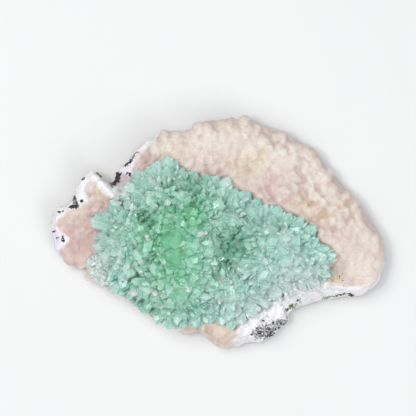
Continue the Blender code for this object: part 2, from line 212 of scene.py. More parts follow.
def cellNoise(points, size, seed, stretch=1.0):  # distance to the nearest cell's centre, and its value
    p = points[:, :2] / np.array([size, size * stretch])
    base = np.floor(p)
    near = np.full(len(p), 9.0)
    value = np.zeros(len(p))
    for dx in (-1, 0, 1):
        for dy in (-1, 0, 1):
            corner = np.column_stack([base + (dx, dy), np.zeros(len(p))])
            middle = corner[:, :2] + 0.15 + 0.7 * np.column_stack(
                [cornerValue(corner, seed), cornerValue(corner, seed + 3)])
            away = np.linalg.norm(p - middle, axis=1)
            closer = away < near
            value = np.where(closer, cornerValue(corner, seed + 5), value)
            near = np.where(closer, away, near)
    return near, value


plateCurve = closedCurve([[*fromPhoto(px, py), face / 1000, edge / 1000]
                          for px, py, face, edge in plateOutline], 6)
tips = np.array([fromPhoto(px, py) for px, py in edgeTips])


def crustHeight(points):  # slow swells, rounded down to the edge, less a pocket, plus a straight ridge
    x, y = points[:, 0], points[:, 1]
    z = plate["crustHeight"] + 0.0011 * np.sin(x * 70 + 0.6) * np.cos(y * 60 - 0.4)
    z += 0.0008 * np.sin(x * 31 - y * 95)
    edge = within(1 - edgeDistance(points, plateCurve[:, :2]) / 0.009)
    z -= 0.0042 * edge ** 2
    px, py, depth, spread = plate["pocket"]
    pocket = fromPhoto(px, py)
    z -= depth * np.exp(-((x - pocket[0]) ** 2 + 0.55 * (y - pocket[1]) ** 2) / (2 * spread ** 2))
    start, end, rise, half = plate["ridge"]
    start, run = fromPhoto(*start), fromPhoto(*end) - fromPhoto(*start)
    t = within((points - start) @ run / (run @ run))
    z += rise * np.exp(-((points - start - t[:, None] * run) ** 2).sum(1) / (2 * half ** 2))
    return z - 0.003 * within(edgeDistance(points, tips) / 0.008)


def moundHeight(points):  # the highest dome under the crystals, faded out towards the outermost tips
    highest = np.zeros(len(points))
    for px, py, radius, rise in rosettes.values():
        away = np.linalg.norm(points - fromPhoto(px, py), axis=1) / (radius * square)
        highest = np.maximum(highest, rise / 1000 * np.sqrt(within(1 - away ** 2)))
    fade = np.clip((edgeDistance(points, tips) - 0.0035) * 1.3, 0, None)
    return crustHeight(points) + np.minimum(highest + 0.0025, fade)


def backHeight(points):  # coarse bumps that rise to the rim, cut off level where they would pass 0
    x, y = points[:, 0], points[:, 1]
    edge = np.clip(edgeDistance(points, plateCurve[:, :2]), 0, None)
    rise = 0.0036 * np.exp(-edge / 0.009)
    bumps = 0.0017 * np.sin(x * 130 + 1.3) * np.cos(y * 150 + 0.4) + 0.0015 * np.sin(x * 61 - y * 83 + 2.0)
    level = 1 - np.exp(-(x ** 2 + y ** 2) / plate["levelRadius"] ** 2)
    px, py, lift, spread = plate["overhang"]
    overhang = lift * np.exp(-((points - fromPhoto(px, py)) ** 2).sum(1) / (2 * spread ** 2))
    return rise + overhang + bumps * level - 0.0007


def spot(points, px, py, radius):  # soft round spot, 1 in its middle, with its radius in squares
    away = ((points[:, :2] - fromPhoto(px, py)) ** 2).sum(1)
    return np.exp(-away / (2 * (radius * square) ** 2))


def spots(points, places):  # the sum of round spots: square x, y, radius and share of each
    return sum(share * spot(points, px, py, radius) for px, py, radius, share in places)


def meshFrom(name, points, faces, smooth=False):
    mesh = bpy.data.meshes.new(name)
    sizes, loops = [], []
    for kind, corners in (("quads", 4), ("fives", 5), ("threes", 3)):
        rows = np.asarray(faces.get(kind, []), dtype=np.int32).reshape(-1, corners)
        sizes.append(np.full(len(rows), corners))
        loops.append(rows.ravel())
    sizes, loops = np.concatenate(sizes), np.concatenate(loops)
    mesh.vertices.add(len(points))
    mesh.vertices.foreach_set("co", np.asarray(points, dtype=np.float32).ravel())
    mesh.loops.add(len(loops))
    mesh.loops.foreach_set("vertex_index", loops.astype(np.int32))
    mesh.polygons.add(len(sizes))
    mesh.polygons.foreach_set("loop_start", (np.cumsum(sizes) - sizes).astype(np.int32))
    mesh.polygons.foreach_set("loop_total", sizes.astype(np.int32))
    mesh.polygons.foreach_set("use_smooth", np.full(len(sizes), smooth))
    mesh.update(calc_edges=True)
    mesh.validate()
    return mesh


def paintMesh(mesh, domain, colours):  # opaque colours as the attribute that the materials read
    layer = mesh.attributes.new("paint", "FLOAT_COLOR", domain)
    opaque = np.column_stack([colours, np.ones(len(colours))])
    layer.data.foreach_set("color", opaque.astype(np.float32).ravel())


def meshPiece(name, points, faces, material, smooth, paint):
    mesh = meshFrom(name, points, faces, smooth)
    paintMesh(mesh, "POINT", paint)
    mesh.materials.append(material)
    piece = bpy.data.objects.new(name, mesh)
    bpy.context.scene.collection.objects.link(piece)
    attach(piece, "root")
    print(name, "triangles", sum(len(p.vertices) - 2 for p in mesh.polygons))
    return piece


def ringedSurface(rings):  # closed surface through rings of points, with a pole at each end
    rows, columns = len(rings) - 2, len(rings[1])
    points = np.vstack([rings[0][:1], *rings[1:-1], rings[-1][:1]])
    here = 1 + np.arange(rows * columns).reshape(rows, columns)
    beside = np.roll(here, -1, 1)
    quads = np.stack([here[:-1], beside[:-1], beside[1:], here[1:]], -1).reshape(-1, 4)
    last = len(points) - 1
    threes = np.vstack([np.stack([np.zeros(columns, int), beside[0], here[0]], -1),
                        np.stack([np.full(columns, last), here[-1], beside[-1]], -1)])
    return points, {"quads": quads, "threes": threes}


# Shader helpers and the groups that materials share

def makeGroup(name, inputs, outputs):
    group = bpy.data.node_groups.new(name, "ShaderNodeTree")
    for label, kind, value in inputs:
        socket = group.interface.new_socket(name=label, in_out="INPUT", socket_type=kind)
        socket.default_value = value
    for label, kind in outputs:
        group.interface.new_socket(name=label, in_out="OUTPUT", socket_type=kind)
    return group, group.nodes.new("NodeGroupInput"), group.nodes.new("NodeGroupOutput")


def addNode(tree, kind, links=None, **settings):
    node = tree.nodes.new(kind)
    for key, value in settings.items():
        setattr(node, key, value)
    for socket, source in (links or {}).items():
        if hasattr(source, "is_linked"):
            tree.links.new(source, node.inputs[socket])
        else:
            node.inputs[socket].default_value = source
    return node


def maths(tree, operation, first, second):
    return addNode(tree, "ShaderNodeMath", {0: first, 1: second}, operation=operation).outputs[0]


def grainGroup():  # sugary grain: facets of cells over soft noise, as a height and masks
    group, given, result = makeGroup(
        "mineralGrain",
        [("Grain Size", "NodeSocketFloat", 0.0008), ("Cloud Size", "NodeSocketFloat", 0.006)],
        [("Height", "NodeSocketFloat"), ("Facet", "NodeSocketFloat"), ("Cloud", "NodeSocketFloat")])
    place = addNode(group, "ShaderNodeTexCoord").outputs["Object"]
    fine = maths(group, "DIVIDE", 1.0, given.outputs["Grain Size"])
    coarse = maths(group, "DIVIDE", 1.0, given.outputs["Cloud Size"])
    cells = addNode(group, "ShaderNodeTexVoronoi", {"Vector": place, "Scale": fine})
    noise = addNode(group, "ShaderNodeTexNoise", {"Vector": place, "Scale": fine, "Detail": 3.0})
    cloud = addNode(group, "ShaderNodeTexNoise", {"Vector": place, "Scale": coarse, "Detail": 4.0})
    dome = maths(group, "SUBTRACT", 1.0, cells.outputs["Distance"])
    shares = maths(group, "MULTIPLY", dome, 0.6), maths(group, "MULTIPLY", noise.outputs[0], 0.5)
    height = maths(group, "ADD", *shares)
    group.links.new(height, result.inputs["Height"])
    group.links.new(addNode(group, "ShaderNodeSeparateColor", {0: cells.outputs["Color"]}).outputs[0],
                    result.inputs["Facet"])
    group.links.new(cloud.outputs[0], result.inputs["Cloud"])
    return group


grain = grainGroup()


def newMaterial(name):
    material = bpy.data.materials.new(name)
    material.use_nodes = True
    tree = material.node_tree
    return material, tree, tree.nodes["Principled BSDF"]


def placeGroup(tree, group, **values):
    node = addNode(tree, "ShaderNodeGroup", node_tree=group)
    for label, value in values.items():
        node.inputs[label.replace("_", " ")].default_value = value
    return node


def ranged(tree, value, low, high, least, most):  # a value from low to high, spread from least to most
    return addNode(tree, "ShaderNodeMapRange", {0: value, 1: low, 2: high, 3: least, 4: most}).outputs[0]


def mineralMaterial(finish):  # painted colour times the tones of facets and clouds, and grain as bump
    material, tree, surface = newMaterial(finish["name"])
    sugar = placeGroup(tree, grain, Grain_Size=finish["grainSize"], Cloud_Size=finish["cloudSize"])
    paint = addNode(tree, "ShaderNodeAttribute", attribute_name="paint").outputs["Color"]
    tone, *others = [ranged(tree, sugar.outputs[mask], *ends) for mask, ends in finish["tones"].items()]
    for other in others:
        tone = maths(tree, "MULTIPLY", tone, other)
    grey = addNode(tree, "ShaderNodeCombineColor", {0: tone, 1: tone, 2: tone}).outputs[0]
    mixed = addNode(tree, "ShaderNodeMix", {0: 1.0, 6: paint, 7: grey}, data_type="RGBA",
                    blend_type="MULTIPLY")
    tree.links.new(mixed.outputs[2], surface.inputs["Base Color"])
    for label, value in finish["plain"].items():
        surface.inputs[label].default_value = value
    if "rough" in finish:
        mask, *ends = finish["rough"]
        tree.links.new(ranged(tree, sugar.outputs[mask], *ends), surface.inputs["Roughness"])
    bump = addNode(tree, "ShaderNodeBump", {"Strength": finish["bump"], "Distance": finish["bumpDepth"],
                                           "Height": sugar.outputs["Height"]})
    tree.links.new(bump.outputs[0], surface.inputs["Normal"])
    if "absorption" in finish:
        tint, density = finish["absorption"]
        absorption = addNode(tree, "ShaderNodeVolumeAbsorption", {"Color": (*tint, 1), "Density": density})
        tree.links.new(absorption.outputs[0], tree.nodes["Material Output"].inputs["Volume"])
    return material


# Finishes: a tone is the range of a mask and the tones at its ends, and so is a roughness after its mask
crustFinish = {
    "name": "crust",
    "grainSize": 0.0009,
    "cloudSize": 0.005,
    "tones": {"Facet": (0, 1, 0.93, 1.05), "Cloud": (0.3, 0.7, 0.96, 1.03)},
    "rough": ("Facet", 0, 1, 0.42, 0.72),
    "bump": 0.55,
    "bumpDepth": 0.0004,
    "plain": {"Subsurface Weight": 0.15, "Subsurface Radius": (1.0, 0.7, 0.55), "Subsurface Scale": 0.0015},
}
rockFinish = {
    "name": "brokenRock",
    "grainSize": 0.0007,
    "cloudSize": 0.004,
    "tones": {"Facet": (0, 1, 0.82, 1.10)},
    "rough": ("Cloud", 0, 1, 0.70, 0.92),
    "bump": 0.7,
    "bumpDepth": 0.0005,
    "plain": {},
}
clearFinish = {
    "name": "apophylliteClear",
    "grainSize": 0.0011,              # of the veils inside the crystals
    "cloudSize": 0.0035,
    "tones": {"Cloud": (0.3, 0.75, 0.86, 1.08), "Facet": (0, 1, 0.88, 1.06)},
    "bump": 0.25,
    "bumpDepth": 0.0003,
    "plain": {"Roughness": 0.06, "IOR": 1.535, "Transmission Weight": 0.27, "Subsurface Weight": 0.45,
              "Subsurface Radius": (0.7, 1.0, 0.85), "Subsurface Scale": 0.0025},
    "absorption": ((0.55, 0.92, 0.78), 5.0),
}
milkyFinish = {
    **clearFinish,
    "name": "apophylliteMilky",
    "grainSize": 0.0014,
    "bump": 0.2,
    "plain": {**clearFinish["plain"], "Roughness": 0.16, "Transmission Weight": 0.15,
              "Subsurface Weight": 0.0},
    "absorption": ((0.95, 0.99, 0.97), 4.0),
}

crust = {
    "columnStep": 0.00074,
    "topRows": 138,
    "faceRows": 16,
    "wallRows": 22,
    "backRows": 46,
    "roughEdge": 0.0013,
    "reach": 0.0064,                  # stretch of the rim that its direction is read over, each way
    "frontEven": 2,                   # neighbours each way that a ring is averaged with
    "backEven": 12,
    "middleEven": 24,
    "bulge": 0.0018,                  # how far lumps push out a rim with no broken face
    "smallLump": 0.0023,
    "smallRise": 0.0007,
    "grainRise": 0.0005,
    "faceRise": 0.0036,               # how rugged the broken face is
    "ledgeRise": 0.0019,
    "wallRise": 0.0024,
    "backRise": 0.0022,
    "cream": (0.700, 0.595, 0.532),
    "pale": (0.790, 0.722, 0.640),
    "pink": (0.510, 0.375, 0.345),
    "rose": (0.600, 0.400, 0.385),
    "tan": (0.600, 0.425, 0.245),
    "mauve": (0.520, 0.440, 0.430),
    "white": (0.930, 0.910, 0.930),
    "lilac": (0.780, 0.730, 0.860),
    # dusk: lilac grey rock round the notch, and in the notch itself also painted shade of its recess
    "dusk": (0.500, 0.430, 0.480),
    "fibre": (0.700, 0.560, 0.450),
    "rock": (0.20, 0.185, 0.175),
    "celadon": (0.200, 0.290, 0.210),
}

# Coloured patches in the order that they are painted: colour, then square x, y, radius and share of each
patches = [
    ("tan", [(178, 150, 8, 0.35), (251, 163, 8, 0.50), (243, 172, 6, 0.40), (262, 152, 5, 0.35),
             (228, 160, 6, 0.30), (311, 210, 7, 0.50), (300, 203, 5, 0.45), (318, 151, 5, 0.70),
             (325, 216, 6, 0.35), (236, 127, 6, 0.35), (337, 180, 7, 0.25), (343, 205, 7, 0.3),
             (109, 196, 6, 0.75), (101, 190, 5, 0.6), (61, 222, 4, 0.6), (85, 257, 5, 0.35),
             (219, 127, 6, 0.30), (337, 268, 9, 0.40)]),
    ("mauve", [(337, 271, 9, 0.65)]),
    ("tan", [(332, 280, 5, 0.5), (358, 284, 4, 0.4)]),
    ("rose", [(150, 163, 9, 0.5), (200, 160, 14, 0.3), (262, 186, 12, 0.5), (222, 168, 10, 0.35),
              (285, 192, 12, 0.5), (80, 237, 18, 0.85), (72, 254, 11, 0.6), (330, 235, 12, 0.3),
              (98, 208, 9, 0.5), (140, 165, 6, 0.5)]),
    ("mauve", [(360, 248, 9, 0.4), (268, 138, 8, 0.3), (300, 170, 12, 0.25), (372, 225, 6, 0.3)]),
    ("pale", [(368, 268, 12, 0.6), (240, 135, 20, 0.35), (176, 148, 12, 0.3), (300, 165, 13, 0.3),
              (95, 268, 8, 0.9)]),
    ("lilac", [(78, 190, 6, 0.7)]),
    # dusk: lilac grey round the notch, and in the notch itself also painted shade of its recess
    ("dusk", [(122, 177, 5, 1.0), (127, 169, 5, 1.0), (116, 183, 4, 1.2)]),
]

# White broken places away from the rim: square x, y, radius, share
whites = [(62, 240, 5, 1.0), (54, 236, 5, 1.0), (57, 213, 5, 1.0), (75, 203, 5, 0.9), (83, 198, 4, 0.8),
          (79, 184, 6, 0.8), (103, 184, 4, 1.0), (112, 194, 4, 1.0), (94, 176, 5, 1.2), (107, 189, 4, 1.0),
          (306, 297, 9, 1.3), (322, 293, 9, 1.2), (288, 306, 9, 1.2), (272, 314, 8, 1.1), (258, 324, 8, 1.1),
          (246, 334, 8, 1.1), (340, 294, 7, 0.9), (358, 291, 6, 0.7), (129, 172, 4, 0.8)]

# Streaks of chips: square x and y of both ends, half width, chips, size in mm, kind
streaks = [
    (69, 207, 77, 206, 1.2, 70, 0.50, "dark"), (72, 197, 76, 204, 1.9, 50, 0.46, "grey"),
    (72, 198, 76, 204, 1.8, 26, 0.46, "dark"), (80, 201, 82, 201, 0.8, 14, 0.44, "dark"),
    (56, 212, 62, 212, 0.7, 12, 0.38, "dark"), (62, 237, 63, 241, 1.2, 14, 0.40, "dark"),
    (55, 238, 58, 238, 0.7, 7, 0.36, "dark"), (52, 231, 55, 232, 0.7, 8, 0.34, "dark"),
    (51, 241, 53, 242, 0.6, 6, 0.34, "dark"), (81, 180, 84, 178, 0.9, 10, 0.38, "dark"),
    (124, 166, 131, 160, 1.4, 46, 0.42, "dark"), (131, 160, 137, 151, 0.9, 26, 0.38, "grey"),
    # the dark and plum chips here fill the notch: dark rock, and painted shade of its recess
    (115, 182, 119, 174, 2.0, 110, 0.62, "dark"), (112, 185, 118, 177, 2.4, 46, 0.50, "plum"),
    (96, 173, 103, 178, 0.9, 34, 0.42, "olive"), (106, 180, 112, 185, 1.0, 34, 0.42, "olive"),
    (257, 335, 270, 330, 5.5, 110, 0.60, "grey"), (270, 330, 287, 321, 3.6, 90, 0.56, "grey"),
    (258, 333, 284, 326, 6.0, 70, 0.60, "dark"), (266, 337, 273, 336, 1.6, 24, 0.60, "plum"),
    (258, 332, 286, 322, 6.0, 230, 0.50, "light"), (263, 326, 269, 324, 1.6, 14, 0.42, "olive"),
    (286, 311, 292, 306, 2.4, 40, 0.46, "olive"), (293, 308, 302, 303, 2.6, 44, 0.42, "green"),
    (297, 301, 301, 299, 0.8, 10, 0.40, "dark"), (324, 299, 337, 297, 1.3, 36, 0.42, "green"),
    (337, 297, 348, 294, 1.3, 30, 0.42, "olive"), (350, 294, 354, 296, 1.2, 16, 0.50, "dark"),
    (331, 262, 344, 286, 4.5, 26, 0.26, "brown"), (126, 172, 131, 175, 1.4, 14, 0.42, "dark"),
]
chipColours = {"dark": (0.045, 0.042, 0.050), "grey": (0.260, 0.260, 0.265), "plum": (0.085, 0.040, 0.075),
               "light": (0.800, 0.790, 0.780), "olive": (0.200, 0.190, 0.080),
               "green": (0.330, 0.420, 0.260), "brown": (0.330, 0.230, 0.140)}


def paintedOver(colour, over, share):
    return colour + (np.array(over) - colour) * within(share)[:, None]


def layered(colours, first, layers):  # one named colour all over, then each of the others by its share
    colour = np.tile(np.array(colours[first]), (len(layers[0][1]), 1))
    for name, share in layers:
        colour = paintedOver(colour, colours[name], share)
    return colour


def fibres(points, px, py, spread):  # streaks that fan out from a place, from 0 to 1
    away = points[:, :2] - fromPhoto(px, py)
    angle = np.arctan2(away[:, 1], away[:, 0]) * spread
    distance = np.linalg.norm(away, axis=1) / 0.006
    return cloudNoise(np.column_stack([angle, distance, points[:, 2] / 0.004]), 1.0, 3, 61)


def frontColours(points, tone, face):  # cream lump crowns over pink valleys, partly painted light and shade; named patches, white broken face
    flat = points[:, :2]
    cloud = cloudNoise(points, 0.006, 3, 4) - 0.5
    mottle = cloudNoise(points, 0.0022, 2, 14)
    wander = (np.column_stack([cloudNoise(points, 0.004, 3, seed) for seed in (71, 72)]) - 0.5) * 0.005
    uneven = np.clip(1.6 * mottle + 0.1, 0, 1.5)
    broken = within(spots(flat + wander * 0.6, whites))
    white = within(face * 1.5 + (broken - 0.35) * 2.0 + cloud * 1.2 * (face > 0.05))
    strata = cloudNoise(points * np.array([0.35, 0.35, 3.0]), 0.0016, 2, 77)
    fan = within(np.maximum(spot(flat, 221, 334, 10), spot(flat, 191, 331, 7)) * 2.0)
    # lighter cream and pale where the lumps rise and pink left in the valleys: partly the crust's own
    # colours, partly painted light and shade
    layers = [("cream", 0.30 + 1.35 * tone + 0.35 * cloud), ("pale", (tone - 0.46) * 2.6 + 0.9 * cloud)]
    layers += [(name, spot(flat + wander, px, py, radius) * share * uneven)
               for name, zones in patches for px, py, radius, share in zones]
    layers += [
        ("white", white * (0.88 + 0.3 * mottle)),
        ("cream", face * within((strata - 0.50) * 3) * 0.60),
        ("mauve", face * within((0.42 - strata) * 3) * 0.45),
        ("lilac", white * within(spots(flat, [(58, 238, 8, 1), (120, 178, 6, 1)])) * 0.7),
        ("fibre", fan * (1.5 * fibres(points, 218, 318, 9.0) - 0.1)),
    ]
    return layered(crust, "pink", layers)


def backColours(points):  # white crust at the edge, then dark rock with green specks and tan ones
    fade = within(edgeDistance(points[:, :2], plateCurve[:, :2]) / 0.0045)
    cloud = cloudNoise(points, 0.010, 4, 41)
    fine = cloudNoise(points, 0.0018, 3, 43)
    colour = layered(crust, "white", [("fibre", (cloud - 0.35) * 1.5 + (fine - 0.5) * 0.6)])
    deep = within((fade - 0.35 + (cloud - 0.5) * 0.9) * 2.2 + within((0.0045 - points[:, 2]) / 0.003))
    rock = np.array(crust["rock"]) * (0.55 + 0.9 * fine[:, None])
    colour = paintedOver(colour, rock, deep)
    specks = within((cloudNoise(points, 0.0016, 2, 47) - 0.50) * 6)
    colour = paintedOver(colour, crust["celadon"], deep * specks * within((cloud - 0.44) * 4) * 0.7)
    return paintedOver(colour, crust["fibre"], deep * (1 - specks) * within((0.44 - cloud) * 5) * 0.30)


def lumpCentres():  # the same wobbled lattice as the solid's lumps
    rng = random.Random(plate["seed"])
    rim = evenSteps(plateCurve, 0.0032)
    ring = insetOutline(rim[:, :2], rim[:, 2], 2)
    low, high = ring.min(0), ring.max(0)
    step, wobble = plate["lumpSpacing"], 0.28
    rows = []
    for j in range(int((high[1] - low[1]) / (step * 0.866)) + 2):
        for i in range(int((high[0] - low[0]) / step) + 2):
            rows.append([low[0] + (i + 0.5 * (j % 2)) * step + rng.uniform(-wobble, wobble) * step,
                         low[1] + j * 0.866 * step + rng.uniform(-wobble, wobble) * step])
    centres = np.array(rows)
    keep = (edgeDistance(centres, ring) > step * 0.1) & (edgeDistance(centres, tips) < 0.006)
    return centres[keep]


def lumpRelief(points, chunk=4000):  # round lumps and smaller ones: 0 in valleys, 1 on crowns
    centres = lumpCentres()
    rng = np.random.default_rng(plate["seed"])
    radius = plate["lumpSpacing"] * rng.uniform(0.50, 0.70, len(centres))
    height = rng.uniform(0.62, 1.0, len(centres))
    longer = rng.uniform(1.0, 1.3, len(centres)) + 0.5 * spot(centres, 200, 132, 52)
    warp = np.column_stack([cloudNoise(onGround(points), 0.005, 2, seed) for seed in (1, 2)])
    moved = points + (warp - 0.5) * 0.0034
    relief = np.zeros(len(points))
    for start in range(0, len(points), chunk):
        part = moved[start:start + chunk]
        dx = (part[:, 0:1] - centres[:, 0]) / radius
        dy = (part[:, 1:2] - centres[:, 1]) / (radius * longer)
        relief[start:start + chunk] = (height * within(1 - dx * dx - dy * dy) ** 0.62).max(1)
    near, value = cellNoise(moved, crust["smallLump"], 21, 1.25)
    return relief, within(1 - near ** 2 * 1.5) * (0.5 + 0.5 * value)


def smoothCrust(points):  # how lumpy the crust is: 1, less in the left pocket and on the lower right
    near = [np.exp(-((points - fromPhoto(px, py)) ** 2).sum(1) / (2 * spread ** 2))
            for px, py, spread in ((82, 238, 0.014), (366, 272, 0.010))]
    return 1 - 0.75 * np.maximum(*near)


def evened(ring, reach):  # each place of a ring averaged with its neighbours on both sides
    return sum(np.roll(ring, k, 0) for k in range(-reach, reach + 1)) / (2 * reach + 1)


def plateRings():  # the rings that front and back share: inner front edge, widest edge, back edge
    rim = evenSteps(plateCurve, crust["columnStep"])
    reach = int(crust["reach"] / crust["columnStep"])
    flat = rim[:, :2]
    ragged = (cloudNoise(onGround(flat), 0.0032, 3, 31) - 0.5) * 2 * crust["roughEdge"]
    ragged = ragged * np.clip(rim[:, 2] / 0.002, 0.7, 1)
    front = evened(insetOutline(flat, rim[:, 2], reach), crust["frontEven"])
    inset = np.full(len(flat), plate["backInset"])
    back = evened(insetOutline(flat, inset, reach), crust["backEven"])
    bulge = (lumpRelief(front)[0] - 0.45) * crust["bulge"] * within((0.0016 - rim[:, 2]) / 0.0004)
    widest = flat + inward(flat, reach) * (ragged - bulge)[:, None]
    edge = rim[:, 3] + (cloudNoise(onGround(flat), 0.006, 3, 32) - 0.5) * 0.003
    return rim, front, np.column_stack([widest, edge]), back


squareCorners = ((1, 1), (-1, 1), (-1, -1), (1, -1))


def sideways(axis):  # two unit vectors across each axis
    helper = np.where(np.abs(axis[:, 2:3]) < 0.9, np.array([[0, 0, 1.0]]), np.array([[1.0, 0, 0]]))
    across = unit(np.cross(helper, axis))
    return across, np.cross(axis, across)


def turned(across, other, turn):  # both vectors turned in their plane
    return across * np.cos(turn) + other * np.sin(turn), other * np.cos(turn) - across * np.sin(turn)


def onSurface(tree, flat):  # whether each place, seen from above, meets the tree, where, and its normal
    hits = [tree.ray_cast(Vector((x, y, 0.1)), Vector((0, 0, -1))) for x, y in flat]
    place = np.array([h[0][:] if h[0] else (0, 0, 0) for h in hits])
    normal = np.array([h[1][:] if h[1] else (0, 0, 1) for h in hits])
    return np.array([h[0] is not None for h in hits]), place, normal


def buildChips(tree):  # broken rock in the rim: six-sided chips, half sunk, along the surface
    rng = np.random.default_rng(33)
    flat, size, colour = [], [], []
    for x0, y0, x1, y1, half, count, chip, kind in streaks:
        along = rng.uniform(0, 1, count)[:, None]
        start, run = fromPhoto(x0, y0), fromPhoto(x1, y1) - fromPhoto(x0, y0)
        flat.append(start + run * along + rng.normal(0, 0.55 * half * square, (count, 2)))
        size.append(chip / 1000 * rng.uniform(0.5, 1.3, count))
        colour.append(np.array(chipColours[kind]) * rng.uniform(0.6, 1.5, (count, 1)))
    met, place, normal = onSurface(tree, np.vstack(flat))
    place, normal, size, colour = place[met], normal[met], np.concatenate(size)[met], np.vstack(colour)[met]
    count = len(place)
    normal = unit(normal + rng.normal(0, 0.35, (count, 3)))
    across, other = sideways(normal)
    turn = rng.uniform(0, math.pi, count)[:, None]
    across, other = turned(across, other, turn)
    shape = size[:, None] * rng.uniform((0.7, 0.4, 0.35), (1.5, 0.9, 0.7), (count, 3))
    corners = np.array([(x, y, z) for z in (-1, 1) for x, y in squareCorners], dtype=float)
    local = corners[None] * rng.uniform(0.55, 1.15, (count, 8, 3)) * shape[:, None]
    points = (place[:, None] + local[..., 0:1] * across[:, None] + local[..., 1:2] * other[:, None]
              + (local[..., 2:3] + shape[:, None, 2:3] * 0.25) * normal[:, None])
    sides = [[k, (k + 1) % 4, 4 + (k + 1) % 4, 4 + k] for k in range(4)]
    first = 8 * np.arange(count)[:, None, None]
    quads = (first + np.array([[3, 2, 1, 0], [4, 5, 6, 7], *sides])).reshape(-1, 4)
    threes = np.vstack([quads[:, [0, 1, 2]], quads[:, [0, 2, 3]]])
    points, paint = points.reshape(-1, 3), np.repeat(colour, 8, 0)
    chips = meshPiece("rim_chips", points, {"threes": threes}, brokenRock, False, paint)


def nestedRings(ring, heart, shares):  # copies of a ring shrunk towards the heart, evened out on the way
    even = heart + (evened(ring, crust["middleEven"]) - heart) * 1.02
    keep = within(1 - (1 - shares) * 9)[:, None, None] ** 2
    shape = even + (ring - even) * keep
    return (heart + (shape - heart) * shares[:, None, None]).reshape(-1, 2)


def bow(t, power):  # 0 at both ends of a stretch and 1 in its middle
    return math.sin(math.pi * min(t, 0.999)) ** power


def buildFront(rim, inner, widest):  # the lumpy crust, then the broken face out to the widest ring
    heart = fromPhoto(*plate["heart"])
    rows = crust["topRows"]
    shares = np.linspace(0, 1, rows + 1)[1:] ** 0.6
    flat = nestedRings(inner, heart, shares)
    relief, small = lumpRelief(flat)
    whiteness = within((rim[:, 2] * 1000 - 1.0) * 2.5 + 0.10)
    lumpy = smoothCrust(flat)
    grainy = cloudNoise(onGround(flat), 0.0026, 2, 8) - 0.5
    lumps = plate["lumpHeight"] * (relief - 0.42) + crust["smallRise"] * (small - 0.5)
    height = crustHeight(flat) + (lumpy * lumps + crust["grainRise"] * grainy)
    top = np.column_stack([flat, height]).reshape(rows, len(rim), 3)
    # tone follows the lumps' height, so their crowns are painted lighter and their valleys darker, partly as
    # painted light and shade
    tone = (within(0.78 * relief + 0.22 * small) * lumpy + 0.55 * (1 - lumpy)).reshape(rows, len(rim))
    rings = [np.array([[*heart, top[0, :, 2].mean()]]), *top]
    faces = [np.zeros(1)] + [within(1 - (1 - s) * 30) * 0.3 * whiteness for s in shares]
    tones = [np.full(1, 0.5), *tone]
    broad = np.clip(rim[:, 2:3] / 0.006, 0.15, 1)
    for k in range(1, crust["faceRows"] + 1):
        t = k / crust["faceRows"]
        row = top[-1] + (widest - top[-1]) * np.array([t, t, t ** 1.5])
        rugged = cloudNoise(row * np.array([1, 1, 2.2]), 0.0026, 4, 17) - 0.5
        ledge = np.abs((cloudNoise(row * np.array([0.5, 0.5, 3.0]), 0.0022, 2, 19) * 4) % 1 - 0.5) - 0.25
        rise = rugged[:, None] * crust["faceRise"] + ledge[:, None] * crust["ledgeRise"]
        rings.append(row + np.array([0, 0, 1]) * rise * bow(t, 0.6) * broad)
        faces.append(whiteness * min(1, 0.3 + 1.4 * t))
        # the broken face is painted lighter where it juts out and darker where it sinks back, as painted
        # light and shade
        tones.append(tone[-1] * (1 - t) + 0.5 * t + rugged * 0.6)
    for share in (0.86, 0.0):
        rings.append(np.column_stack([heart + (widest[:, :2] - heart) * share, widest[:, 2] - 0.0008]))
        faces.append(np.ones(len(rim)))
        tones.append(np.full(len(rim), 0.5))
    face, reliefLightAndShade = [np.concatenate([part[0], *part[1:-1], part[-1][:1]]) for part in (faces, tones)]
    points, quads = ringedSurface(rings)
    colours = frontColours(points, reliefLightAndShade, face)
    front = meshPiece("crust_front", points, quads, mineralMaterial(crustFinish), True, colours)
    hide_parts("matrix")
    return front


def buildBack(rim, edge, widest):  # the side wall down to the back's edge, then the back to its middle
    heart = fromPhoto(*plate["heart"])
    start = np.column_stack([heart + (widest[:, :2] - heart) * 0.85, widest[:, 2] + 0.0006])
    rings = [np.array([[*heart, 0.009]]), start, widest]
    outward = -inward(rim[:, :2], 8)
    under = np.column_stack([edge, np.clip(backHeight(edge), 0, None)])
    for k in range(1, crust["wallRows"] + 1):
        t = k / crust["wallRows"]
        row = widest + (under - widest) * np.array([t ** 1.6, t ** 1.6, t])
        rugged = cloudNoise(row, 0.0045, 4, 23) - 0.5
        window = bow(t, 0.7)
        row[:, :2] += outward * (rugged * crust["wallRise"] * window - 0.0003 * window)[:, None]
        row[:, 2] += (cloudNoise(row, 0.003, 3, 24) - 0.5) * 0.0016 * window
        rings.append(row)
    for s in 1 - (np.arange(1, crust["backRows"] + 1) / crust["backRows"]) ** 1.4:
        flat = heart + (edge - heart) * s
        rough = (cloudNoise(onGround(flat), 0.005, 4, 27) - 0.5) * crust["backRise"]
        rings.append(np.column_stack([flat, np.clip(backHeight(flat) + rough - 0.0002, 0, None)]))
    points, quads = ringedSurface(rings)
    back = meshPiece("rock_back", points, quads, brokenRock, True, backColours(points))
    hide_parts("matrix")


brokenRock = mineralMaterial(rockFinish)
rim, frontRing, widestRing, backRing = plateRings()
crustFront = buildFront(rim, frontRing, widestRing)
frontTree = BVHTree.FromObject(crustFront, bpy.context.evaluated_depsgraph_get())
buildChips(frontTree)
buildBack(rim, backRing, widestRing)


